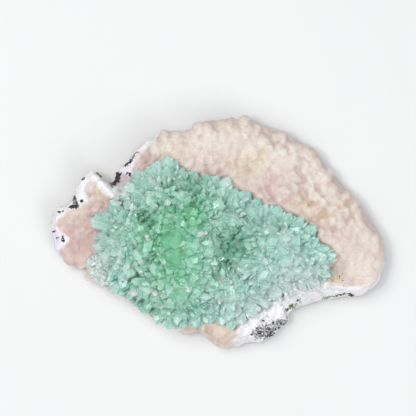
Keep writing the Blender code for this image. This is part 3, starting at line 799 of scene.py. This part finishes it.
crystals = {
    "spacing": 0.0085,
    "width": (0.0027, 0.0042),
    "length": (0.0075, 0.0115),
    "root": 0.003,
    "edgeLength": (0.0085, 0.0105),
    "edgeRows": ((0.42, 0.0, 1.0), (0.95, 0.0052, 1.15)),  # lift, set back and width of both outer rows
    "edgeHeight": 0.0044,             # height of the outermost tips over the crust
    "rowRise": 0.0052,                # how much higher the second row stands
    "rimClear": 0.0085,               # how far inside the outline the rosettes' crystals begin
    "rootDepth": 0.0022,
    "jitter": 0.0009,
    "steepness": (1.6, 2.4),
    "partsPerCrystal": 6,
    "partWidth": (0.18, 0.44),        # as a share of the crystal that they grew with
    "partTilt": 0.12,
    "fill": 0.0037,                   # how far smaller crystals fill the gaps between the large ones
    "sunk": 0.42,                     # share of its length that an upright smaller crystal is set down by
    "medium": {"spacing": 0.0029, "width": (0.0008, 0.0027), "length": (0.0035, 0.0090), "lean": 2.2,
               "noise": 0.42, "sink": 0.0005, "seed": 11},
    "small": {"spacing": 0.0021, "width": (0.0003, 0.0010), "length": (0.0022, 0.0060), "lean": 2.4,
              "noise": 0.50, "sink": 0.0003, "seed": 13},
    "bladeShare": (0.30, 1.0),        # how thick a smaller crystal is for its width
    "facetLightAndShade": 0.75,                # how strongly each face of a crystal is painted lighter or darker, as painted highlights and shade
    "moundRows": 60,
    "leaf": (0.47, 0.765, 0.535),     # what the leaf green crystals leave of the light
    # deep: darker green, painted as the shade in the valleys between the rosettes
    "deep": (0.42, 0.60, 0.52),
    "mint": (0.610, 1.000, 0.865),
    "ice": (0.850, 1.000, 0.950),
    "frost": (0.865, 1.000, 0.955),
    "gap": (0.760, 1.000, 0.900),     # the light that comes up through clear crystals between their tips
}

# Where the crystals differ: square x, y, radius, share. Calm ones are low and pale and show few faces, and
# blocky ones are seen nearly head on
zones = {
    "leaf": [(169, 234, 23, 1.1), (180, 275, 17, 0.62), (168, 300, 13, 0.3), (192, 212, 13, 0.6)],
    # deep: painted shade, darker green in the valleys between the rosettes
    "deep": [(234, 242, 13, 1.3), (146, 217, 7, 0.8), (192, 183, 9, 0.8), (220, 260, 8, 0.6),
             (140, 306, 9, 0.6)],
    "ice": [(300, 288, 22, 1.0), (110, 235, 16, 0.5), (95, 268, 12, 1.2), (235, 318, 16, 0.6),
            (268, 308, 15, 0.9), (125, 194, 9, 1.2), (164, 176, 15, 0.4), (168, 292, 14, 0.45)],
    "frost": [(298, 285, 15, 1.0), (96, 268, 9, 0.8), (268, 311, 11, 0.8), (160, 184, 14, 0.5),
              (124, 194, 8, 0.4)],
    "calm": [(292, 276, 26, 1.0), (306, 248, 18, 0.8), (244, 308, 18, 0.8), (112, 238, 18, 0.5),
             (98, 270, 12, 0.6)],
    "blocky": [(178, 233, 24, 1.0), (294, 280, 16, 0.9), (262, 303, 12, 0.7), (234, 246, 11, 0.8),
               (184, 272, 14, 0.6), (283, 242, 9, 0.9), (172, 288, 12, 0.8), (262, 246, 9, 0.5),
               (205, 262, 12, 0.6)],
}

# Where crystals lean another way than out of their rosette: square x, y, radius, lean along x and y
sprays = [
    (228, 190, 20, 0.9, 1.5), (190, 182, 14, 0.5, 1.4), (100, 232, 18, -1.6, 0.2), (322, 250, 18, 1.8, -0.3),
    (160, 172, 14, -0.4, 1.5), (226, 318, 18, 0.3, -1.5), (140, 296, 16, -0.8, -1.1),
]

# Single crystals: square x, y, how far they stand out in quarters of a mm, lean along x and y, half width
# and length in mm, tint
singles = [
    (133, 293, 5.0, -0.25, -0.20, 2.1, 6.0, "glint"), (157, 293, 4.0, 0.25, -0.25, 1.3, 6.0, "glint"),
    (171, 291, 4.5, 0.10, -0.45, 2.2, 7.0, "pale"), (147, 234, 3.6, -0.50, 0.80, 1.0, 6.5, "glint"),
    (207, 232, 3.0, 0.35, 0.15, 0.8, 6.0, "glint"), (259, 233, 2.4, 0.20, 0.30, 0.7, 5.0, "glint"),
    (283, 231, 2.6, 0.25, 0.40, 0.7, 5.0, "glint"), (220, 302, 2.4, 0.30, -0.50, 0.8, 5.0, "glint"),
    (150, 178, 2.2, -0.30, 0.45, 1.3, 5.0, "cream"), (183, 243, 2.8, 0.10, 0.10, 1.2, 6.0, "cream"),
    (283, 240, 4.0, -0.10, -0.25, 2.4, 7.5, "pale"), (154, 204, 2.6, -0.40, 0.50, 1.4, 6.0, "pale"),
    (205, 190, 2.4, 0.50, 0.70, 1.0, 6.0, "pale"), (128, 222, 2.2, -0.70, 0.20, 1.0, 6.0, "cream"),
    (240, 270, 2.2, 0.35, -0.45, 1.3, 6.0, "pale"), (118, 262, 2.2, -0.60, -0.30, 1.1, 5.0, "pale"),
    (203, 232, 3.5, 0.40, 0.20, 2.0, 7.0, "pale"), (166, 262, 3.0, 0.05, -0.30, 1.6, 6.5, "pale"),
    (190, 290, 3.0, 0.30, -0.50, 1.8, 6.5, "pale"), (168, 200, 3.0, -0.10, 0.45, 2.0, 7.0, "pale"),
    (183, 205, 4.0, 0.10, 0.35, 2.6, 8.0, "pale"), (212, 242, 3.0, 0.50, 0.00, 1.6, 6.0, "pale"),
    (265, 262, 3.0, 0.10, -0.30, 1.8, 6.5, "pale"), (140, 262, 3.0, -0.45, -0.20, 1.5, 6.0, "pale"),
]
singleShape = (1.6, 0.55, 0.0005, 0.8)   # steepness, bluntness, root and thickness for their width
# glint crystals are painted nearly white, as painted glints
tints = {"none": (0, 0, 0, 0), "glint": (0.99, 1.0, 0.985, 0.95), "pale": (0.86, 0.99, 0.95, 0.55),
         "cream": (0.90, 0.90, 0.80, 0.75)}

# Zones: square x, y, radius, crystals, share of white ones
druse = {
    "zones": [(124, 194, 8, 60, 0.3), (96, 270, 9, 90, 0.6), (89, 263, 5, 30, 0.8), (101, 284, 6, 30, 0.6),
              (119, 189, 4, 14, 0.2), (304, 294, 10, 50, 1.0), (320, 287, 7, 30, 1.0),
              (284, 303, 8, 36, 1.0), (264, 315, 7, 26, 1.0), (138, 207, 7, 16, 0.2)],
    "width": (0.0005, 0.0012),
    "length": (0.0009, 0.0021),
    "sunk": 0.0009,
    "spread": 0.35,
    "white": (0.915, 0.955, 0.925),
    "mint": (0.720, 0.950, 0.865),
}


def zone(points, name):
    return within(spots(points, zones[name]))


def formsOf(place, axis, root, **given):  # crystals, untinted and of full thickness unless given
    count = len(place)
    plain = {"root": np.full(count, root), "tint": np.zeros(count, dtype=int), "blade": np.ones(count)}
    return {"place": place, "axis": axis, **plain, **given}


def joinForms(*groups):
    return {key: np.concatenate([g[key] for g in groups]) for key in groups[0]}


def crystalPoints(forms):
    # Tetragonal crystals: a square prism, and four pyramid planes over its edges that meet near the axis
    half, length, blunt = forms["half"], forms["length"], forms["blunt"]
    across, other = sideways(forms["axis"])
    u, v = turned(across, other, forms["turn"][:, None])
    tall = half * forms["steep"]
    corner, middle = length - tall, length - tall * 0.5
    top, cut, zero = length - tall * 0.5 * blunt, half * blunt, np.zeros(len(half))
    local = [(sx * half, sy * half, h) for h in (-forms["root"], corner) for sx, sy in squareCorners]
    for out, h in ((half, middle), (cut, top)):
        local += [(zero, out, h), (-out, zero, h), (zero, -out, h), (out, zero, h)]
    local = np.array([np.stack(p, -1) for p in local]).transpose(1, 0, 2)
    thick = local[..., 0:1] * forms["blade"][:, None, None]
    return (forms["place"][:, None] + thick * u[:, None] + local[..., 1:2] * v[:, None]
            + local[..., 2:3] * forms["axis"][:, None])


pointsEach = 16                       # points of a crystal: foot, shoulders, edges and tip, four each


def crystalFaces(count):
    quads, fives, threes = [[3, 2, 1, 0], [12, 13, 14, 15]], [], []
    for k in range(4):
        n, before = (k + 1) % 4, (k + 3) % 4
        fives.append([k, n, 4 + n, 8 + k, 4 + k])
        quads.append([4 + k, 8 + k, 12 + k, 12 + before])
        threes.append([4 + k, 12 + before, 8 + before])
    first = pointsEach * np.arange(count)[:, None, None]
    kinds = {"quads": quads, "fives": fives, "threes": threes}
    return {key: (first + np.array(rows)).reshape(-1, len(rows[0])) for key, rows in kinds.items()}


def greenOf(flat, share, draw, facet, tint):  # leaf green round the middle, mint outside it, paler tips, with painted light at the roots, painted highlights and shade on the faces, and painted shade in the valleys
    leaf, along = zone(flat, "leaf"), within(share)
    # each face painted lighter or darker by its own draw: painted highlights, which also whiten it towards
    # ice, and painted shade, fewer in calm zones
    tone = crystals["facetLightAndShade"] * (facet ** 2.2 - 0.35) * (1 - 0.6 * zone(flat, "calm"))
    pale = zone(flat, "ice") * 0.9 + 0.3 * (draw - 0.4) + 1.05 * tone - 0.3 * spot(flat, 296, 242, 26)
    colour = layered(crystals, "mint", [
        ("gap", (1 - along) ** 1.5),
        ("ice", pale),
        # paler tips: partly their own paler colour, partly painted highlight
        ("ice", along ** 2 * (0.15 + 0.35 * draw)),
        ("frost", zone(flat, "frost") * (0.5 + 0.4 * along)),
    ])
    # faces with a negative draw are darkened: painted shade
    colour = colour * (1 + np.minimum(tone, 0)[:, None] * (1.0, 0.55, 0.7))
    # leaf green made paler on highlighted faces, and deep green painted as shade in the valleys between the
    # rosettes
    green, dark = leaf * (0.7 + 0.6 * draw) - 0.8 * tone * leaf, zone(flat, "deep") * (0.55 + 0.5 * draw)
    for name, mask in (("leaf", green), ("deep", dark)):
        colour = colour * (1 + (np.array(crystals[name]) - 1) * within(mask)[:, None])
    over = np.array(list(tints.values()))[tint]
    return within(colour + (over[:, :3] - colour) * over[:, 3:])


def alongShare(points, forms, owner):  # 0 at the root of the owning crystal and 1 at its tip
    height = ((points - forms["place"][owner]) * forms["axis"][owner]).sum(1) + forms["root"][owner]
    return height / (forms["length"][owner] + forms["root"][owner])


def separateBatches(points):  # sorts crystals into batches in which none touch, by their bounding balls
    centre = points.mean(1)
    radius = np.linalg.norm(points - centre[:, None], axis=2).max(1)
    batch = np.zeros(len(points), dtype=int)
    for k in range(1, len(points)):
        near = np.linalg.norm(centre[:k] - centre[k], axis=1) < radius[:k] + radius[k]
        used = np.unique(batch[:k][near])
        batch[k] = np.setdiff1d(np.arange(len(used) + 1), used)[0]
    return batch


def ownedMesh(name, points, faces, owners):  # closed mesh whose faces remember their crystal
    mesh = meshFrom(name, points, faces)
    layer = mesh.attributes.new("owner", "INT", "FACE")
    layer.data.foreach_set("value", owners.astype(np.int32))
    return mesh


def readAll(items, key, kind, width=1):  # one value for each of a mesh's items, or a row of them
    values = np.empty(len(items) * width, dtype=kind)
    items.foreach_get(key, values)
    return values.reshape(-1, width) if width > 1 else values


def unionOf(name, forms, moundPoints, moundFaces):
    # One clear solid: the mound and all the crystals. EXACT took over two minutes for a third of these, so
    # MANIFOLD joins batches of closed crystals that don't touch within a batch
    points = crystalPoints(forms)
    batch = separateBatches(points)
    tools = bpy.data.collections.new("fusing")
    bpy.context.scene.collection.children.link(tools)
    moundOwners = np.full(sum(len(rows) for rows in moundFaces.values()), -1)
    body = bpy.data.objects.new(name, ownedMesh(name, moundPoints, moundFaces, moundOwners))
    bpy.context.scene.collection.objects.link(body)
    for k in range(batch.max() + 1):
        chosen = np.flatnonzero(batch == k)
        faces = crystalFaces(len(chosen))
        owners = np.concatenate([chosen[rows[:, 0] // pointsEach] for rows in faces.values()])
        mesh = ownedMesh("batch", points[chosen].reshape(-1, 3), faces, owners)
        tools.objects.link(bpy.data.objects.new("batch", mesh))
    union = body.modifiers.new("Union", "BOOLEAN")
    union.operation = "UNION"
    union.operand_type = "COLLECTION"
    union.collection = tools
    union.solver = "MANIFOLD"
    fused = bpy.data.meshes.new_from_object(body.evaluated_get(bpy.context.evaluated_depsgraph_get()))
    body.modifiers.clear()
    body.data = fused
    for tool in list(tools.objects):
        bpy.data.objects.remove(tool)
    bpy.data.collections.remove(tools)
    print(name, "joined from", len(points), "crystals in", batch.max() + 1, "batches")
    return body


def fusedPiece(name, forms, moundPoints, moundFaces, seed):  # the union, faces coloured by crystal
    body = unionOf(name, forms, moundPoints, moundFaces)
    fused = body.data
    sizes = readAll(fused.polygons, "loop_total", np.int32)
    owner = np.repeat(readAll(fused.attributes["owner"].data, "value", np.int32), sizes)
    place = readAll(fused.vertices, "co", np.float32, 3)[readAll(fused.loops, "vertex_index", np.int32)]
    normal = np.repeat(readAll(fused.polygons, "normal", np.float32, 3), sizes, 0)
    grown, known = owner >= 0, np.clip(owner, 0, None)
    share = np.where(grown, alongShare(place, forms, known), 0)
    draw = np.where(grown, np.random.default_rng(seed).random(len(forms["half"]))[known], 0.5)
    tint = np.where(grown, forms["tint"][known], 0)
    # a draw for each face of each crystal, by its direction, that paints it lighter or darker as painted
    # highlight and shade
    facet = cornerValue(np.round(normal * 20) + owner[:, None], seed)
    paintMesh(fused, "CORNER", greenOf(place[:, :2], share, draw, facet, tint))
    fused.attributes.remove(fused.attributes["owner"])
    fused.materials.clear()
    fused.materials.append(mineralMaterial(clearFinish))
    fused.polygons.foreach_set("use_smooth", np.zeros(len(fused.polygons), dtype=bool))
    print(name, "triangles", int((sizes - 2).sum()))
    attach(body, "root")
    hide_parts("apophyllite_cluster")
    return body


def edgeCrystals(rng):  # crystals whose tips make the cluster's outline, with a second row behind them
    made = []
    normals = -inward(tips, 2)
    for k, tip in enumerate(tips):
        neighbours = 0.5 * (tips[k - 1] + tips[(k + 1) % len(tips)])
        out = normals[k] + 60 * (tip - neighbours)
        out /= np.linalg.norm(out)
        for row, (lift, back, wide) in enumerate(crystals["edgeRows"]):
            lean = Vector((out[0], out[1], lift + rng.uniform(-0.1, 0.12))).normalized()
            half = rng.uniform(*crystals["width"]) * wide * 0.86
            length = rng.uniform(*crystals["edgeLength"]) + 0.0015 * row
            aside = rng.uniform(-0.0015, 0.0015) * row
            end = tip - out * back + np.array([-out[1], out[0]]) * aside
            height = float(crustHeight(end[None])[0]) + crystals["edgeHeight"] + crystals["rowRise"] * row
            height += rng.uniform(0, 0.0012)
            root = Vector((end[0], end[1], height)) - lean * length
            turn = rng.uniform(0, math.pi)
            made.append((root, lean, turn, half, length, rng.uniform(*crystals["steepness"]), 0.18))
    return made


def domeHeight(place, name):  # height of a rosette's dome at a place, in mm
    px, py, radius, rise = rosettes[name]
    away = np.linalg.norm(place - fromPhoto(px, py)) / (radius * square)
    return rise * math.sqrt(max(0.0, 1 - away ** 2))


def rosetteCrystals(rng):  # sunflower spirals over each dome: radius as the root of the count
    made = []
    golden = math.pi * (3 - math.sqrt(5))
    (low, high), (short, long) = crystals["width"], crystals["length"]
    for name, (px, py, radius, rise) in rosettes.items():
        reach = radius * square
        count = int(math.pi * reach ** 2 / (crystals["spacing"] ** 2 * 0.86))
        phase = rng.uniform(0, math.tau)
        for k in range(count):
            share = math.sqrt((k + 0.5) / count)
            angle = phase + k * golden
            way = np.array([math.cos(angle), math.sin(angle)])
            jitter = np.array([rng.uniform(-1, 1), rng.uniform(-1, 1)]) * crystals["jitter"]
            place = fromPhoto(px, py) + way * reach * share + jitter
            draws = [rng.random() for _ in range(6)]
            steep = rng.uniform(*crystals["steepness"])
            covered = max(rosettes, key=lambda other: domeHeight(place, other)) != name
            if covered or float(edgeDistance(place[None], tips)[0]) < crystals["rimClear"]:
                continue
            height = float(moundHeight(place[None])[0])
            lean = Vector((way[0] * share * 1.05 + draws[2] * 0.3 - 0.15,
                           way[1] * share * 1.05 + draws[3] * 0.3 - 0.15, 1)).normalized()
            root = Vector((place[0], place[1], height - crystals["rootDepth"]))
            half, length = low + (high - low) * draws[0], short + (long - short) * draws[1]
            made.append((root, lean, draws[4] * math.pi, half, length, steep, 0.10 + 0.25 * draws[5]))
    return made


def filledHeight(points):  # the mound raised between the large crystals, but not by their outermost tips
    fill = crystals["fill"] * (1 + 0.75 * zone(points, "calm"))
    return moundHeight(points) + fill * within((edgeDistance(points, tips) - 0.004) / 0.010)


def standardTurn(axis, turn):  # the turn about the axis that gives the solid's own crystals their sides
    turning = Vector((0, 0, 1)).rotation_difference(axis).to_matrix() @ Matrix.Rotation(turn, 3, "Z")
    helper = Vector((0, 0, 1)) if abs(axis.z) < 0.9 else Vector((1, 0, 0))
    across = helper.cross(axis).normalized()
    other = axis.cross(across)
    side = turning @ Vector((1, 0, 0))
    return math.atan2(side.dot(other), side.dot(across))


def mainForms():  # the large crystals, the same as the solid's
    rng = random.Random(plate["seed"])
    main = edgeCrystals(rng) + rosetteCrystals(rng)
    place, axis = [np.array([c[k][:] for c in main]) for k in (0, 1)]
    keys = ("half", "length", "steep", "blunt")
    sizes = {key: np.array([c[3 + k] for c in main]) for k, key in enumerate(keys)}
    turn = np.array([standardTurn(c[1], c[2]) for c in main])
    return formsOf(place, axis, crystals["root"], turn=turn, **sizes)


def partForms(main, seed):  # slimmer crystals nearly parallel to each large one, down its sides
    draw = np.random.default_rng(seed)
    owner = np.repeat(np.arange(len(main["half"])), crystals["partsPerCrystal"])
    many = len(owner)
    half, axis, turn = main["half"][owner], main["axis"][owner], main["turn"][owner]
    angle = draw.integers(0, 8, many) * math.pi / 4 + draw.normal(0, 0.25, many) + turn
    across, other = sideways(axis)
    offset = half * draw.uniform(0.35, 1.10, many)
    place = (main["place"][owner] + across * (np.cos(angle) * offset)[:, None]
             + other * (np.sin(angle) * offset)[:, None])
    away = across * np.cos(angle)[:, None] + other * np.sin(angle)[:, None]
    axis = axis + away * draw.uniform(0, 0.16, many)[:, None]
    axis = axis + draw.normal(0, crystals["partTilt"], (many, 3))
    fall = offset * main["steep"][owner] * 0.5
    return formsOf(
        place, unit(axis), crystals["root"],
        turn=turn + draw.normal(0, 0.12, many),
        half=half * draw.uniform(*crystals["partWidth"], many),
        length=main["length"][owner] - fall * draw.uniform(0.2, 1.0, many) - 0.0003,
        steep=draw.uniform(1.7, 3.0, many), blunt=draw.uniform(0.04, 0.35, many),
        blade=draw.uniform(0.5, 1.0, many))


def scatteredForms(size):  # jittered grid over the mound, leaning as it does
    spacing, low, high = size["spacing"], tips.min(0), tips.max(0)
    rng = np.random.default_rng(size["seed"])
    x, y = np.meshgrid(np.arange(low[0], high[0], spacing), np.arange(low[1], high[1], spacing))
    flat = np.column_stack([x.ravel(), y.ravel()]) + rng.uniform(-0.5, 0.5, (x.size, 2)) * spacing
    flat = flat[edgeDistance(flat, tips) > 0.0022]
    best = np.full(len(flat), -1.0)
    lean = np.zeros((len(flat), 2))
    for px, py, radius, rise in rosettes.values():
        offset = (flat - fromPhoto(px, py)) / (radius * square)
        height = rise * np.sqrt(within(1 - (offset ** 2).sum(1)))
        closer = height > best
        best = np.where(closer, height, best)
        lean = np.where(closer[:, None], offset, lean)
    normals = -inward(tips, 2)
    nearest = ((flat[:, None] - tips[None]) ** 2).sum(2).argmin(1)
    rimShare = within(1 - edgeDistance(flat, tips) / 0.009)[:, None]
    lean = lean * size["lean"]
    for px, py, radius, along, up in sprays:
        lean = lean + (np.array([along, up]) - lean) * spot(flat, px, py, radius)[:, None]
    lean = lean * (1 - rimShare) + normals[nearest] * 1.3 * rimShare
    blocky = zone(flat, "blocky")
    lean = lean * (1 - 0.45 * blocky[:, None])
    axis = unit(np.column_stack([lean + rng.normal(0, size["noise"], lean.shape), np.ones(len(flat))]))
    count = len(flat)
    low, high = size["width"]
    forms = formsOf(
        np.column_stack([flat, filledHeight(flat) - size["sink"]]), axis, 0.001,
        turn=rng.uniform(0, math.pi, count),
        half=low + (high - low) * rng.random(count) ** 2 * (1 + 0.5 * blocky) + 1.3 * low * blocky,
        length=rng.uniform(*size["length"], count) * (1 - 0.35 * zone(flat, "calm")),
        steep=rng.uniform(1.7, 3.2, count) * (1 - 0.4 * blocky),
        blunt=np.clip(rng.uniform(0.04, 0.35, count) + 0.5 * blocky * rng.uniform(0, 1, count), 0, 0.9),
        blade=rng.uniform(*crystals["bladeShare"], count) * (1 - blocky) + blocky)
    forms["place"] -= axis * (forms["length"] * axis[:, 2] * crystals["sunk"])[:, None]
    end = forms["place"] + axis * forms["length"][:, None]
    keep = edgeDistance(end[:, :2], tips) > 0.0004
    return {key: values[keep] for key, values in forms.items()}


def singleForms(others):  # the single crystals, with their tops just over what stands at their place
    points = crystalPoints(others).reshape(-1, 3)
    names, rows = list(tints), []
    for k, (px, py, out, leanX, leanY, half, length, tint) in enumerate(singles):
        flat = fromPhoto(px, py)
        axis = np.array([leanX, leanY, 1.0]) / math.sqrt(leanX ** 2 + leanY ** 2 + 1)
        near = points[np.linalg.norm(points[:, :2] - flat, axis=1) < 0.0016, 2]
        top = np.array([*flat, max(near.max(initial=0), float(filledHeight(flat[None])[0])) + out / 4000])
        root = top - axis * length / 1000
        rows.append((root, axis, 0.4 * k, half / 1000, length / 1000, *singleShape, names.index(tint)))
    keys = ("place", "axis", "turn", "half", "length", "steep", "blunt", "root", "blade", "tint")
    return {key: np.array(values) for key, values in zip(keys, zip(*rows))}


def moundSurface():  # the crystals' shared mass: rings shrunk to the middle, above and below
    outline = evenSteps(closedCurve(tips, 4), 0.0016)
    outline = insetOutline(outline, np.full(len(outline), 0.0032), 4)
    middle = fromPhoto(200, 245)
    rings = [np.array([[*middle, float(filledHeight(middle[None])[0])]])]
    above = [(share, filledHeight, 0.0004) for share in np.linspace(0, 1, crystals["moundRows"])[1:]]
    for share, height, sunk in above + [(share, crustHeight, 0.0015) for share in (1.0, 0.6, 0.0)]:
        flat = middle + (outline - middle) * share
        rings.append(np.column_stack([flat, height(flat) - sunk]))
    return ringedSurface(rings)


def buildCrystals():
    main = mainForms()
    scattered = [scatteredForms(crystals[size]) for size in ("medium", "small")]
    grown = joinForms(main, partForms(main, 5), *scattered)
    return fusedPiece("apophyllite_clear", joinForms(grown, singleForms(grown)), *moundSurface(), 1)


def buildDruse(clusterTree):  # small pale crystals where the cluster thins out into the crust
    rng = np.random.default_rng(41)
    flat = np.vstack([fromPhoto(px, py) + rng.normal(0, radius * square * 0.6, (count, 2))
                      for px, py, radius, count, white in druse["zones"]])
    pale = np.concatenate([rng.random(count) < white for px, py, radius, count, white in druse["zones"]])
    metCrust, place, normal = onSurface(frontTree, flat)
    metCluster, higher, facing = onSurface(clusterTree, flat)
    above = metCluster & (higher[:, 2] > place[:, 2])
    place, normal = np.where(above[:, None], higher, place), np.where(above[:, None], facing, normal)
    keep = metCrust & (normal[:, 2] > 0.5) & (edgeDistance(flat, plateCurve[:, :2]) > 0.0015)
    place, normal, pale = place[keep], normal[keep], pale[keep]
    count = len(place)
    axis = unit(normal * 0.6 + (0, 0, 0.6) + rng.normal(0, druse["spread"], (count, 3)))
    forms = formsOf(
        place - axis * druse["sunk"], axis, 0.0012,
        turn=rng.uniform(0, math.pi, count), half=rng.uniform(*druse["width"], count),
        length=rng.uniform(*druse["length"], count), steep=rng.uniform(1.2, 2.4, count),
        blunt=rng.uniform(0.1, 0.6, count), blade=rng.uniform(0.4, 1.0, count))
    points = crystalPoints(forms).reshape(-1, 3)
    tone = rng.uniform(0.90, 1.08, (count, 1))
    paint = np.repeat(within(np.where(pale[:, None], druse["white"], druse["mint"]) * tone), pointsEach, 0)
    piece = meshPiece("pale_druse", points, crystalFaces(count), mineralMaterial(milkyFinish), False, paint)


clearBody = buildCrystals()
buildDruse(BVHTree.FromObject(clearBody, bpy.context.evaluated_depsgraph_get()))


studio = {
    "cameraHeight": 0.95,
    "frameSquares": 416,
    "sensor": 36.0,
    "floor": (0.80, 0.80, 0.79),
    "floorRoughness": 0.9,
    "floorHalf": 1.5,
    "floorDrop": 0.0001,              # how far the floor lies under the back, so that they don't touch
    "world": (0.92, 0.95, 1.0),
    "worldStrength": 0.50,
    "view": "Standard",
    "aim": (0, 0, 0.02),              # where the lamps point
}

# Round lamps: name, place, size in metres, power, colour
lamps = [
    ("keyLight", (-0.40, 0.30, 1.00), 0.60, 4.4, (1.0, 0.99, 0.97)),
    ("fillLight", (0.60, -0.60, 0.85), 0.70, 3.8, (0.98, 0.99, 1.0)),
    ("frontLight", (0.05, -0.10, 1.50), 0.90, 2.8, (1, 1, 1)),
    ("sparkLight", (-0.30, 0.05, 0.90), 0.05, 1.0, (1, 1, 1)),
]


def softLight(name, place, size, power, colour):
    data = bpy.data.lights.new(name, "AREA")
    data.shape = "DISK"
    data.size = size
    data.energy = power
    data.color = colour
    lamp = bpy.data.objects.new(name, data)
    lamp.location = place
    lamp.rotation_mode = "QUATERNION"
    lamp.rotation_quaternion = (Vector(studio["aim"]) - Vector(place)).to_track_quat("-Z", "Y")
    bpy.context.scene.collection.objects.link(lamp)


def buildFloor():
    half, drop = studio["floorHalf"], studio["floorDrop"]
    mesh = bpy.data.meshes.new("floor")
    mesh.from_pydata([(x * half, y * half, -drop) for x, y in squareCorners], [], [[0, 1, 2, 3]])
    floor = bpy.data.objects.new("floor", mesh)
    bpy.context.scene.collection.objects.link(floor)
    material, tree, surface = newMaterial("paleFloor")
    surface.inputs["Base Color"].default_value = (*studio["floor"], 1)
    surface.inputs["Roughness"].default_value = studio["floorRoughness"]
    mesh.materials.append(material)


def buildStudio():
    scene = bpy.context.scene
    buildFloor()
    for lamp in lamps:
        softLight(*lamp)
    world = bpy.data.worlds.new("studio")
    world.use_nodes = True
    world.node_tree.nodes["Background"].inputs[0].default_value = (*studio["world"], 1)
    world.node_tree.nodes["Background"].inputs[1].default_value = studio["worldStrength"]
    scene.world = world
    scene.view_settings.view_transform = studio["view"]
    camera = bpy.data.objects.new("camera", bpy.data.cameras.new("camera"))
    away = studio["cameraHeight"]
    camera.data.sensor_width = studio["sensor"]
    camera.data.lens = studio["sensor"] * away / (studio["frameSquares"] * square)
    place = fromPhoto(studio["frameSquares"] / 2, studio["frameSquares"] / 2)
    camera.location = (place[0], place[1], plate["crustHeight"] + away)
    camera.data.clip_end = 10
    scene.collection.objects.link(camera)
    scene.camera = camera


buildStudio()
print("studio and camera ready")
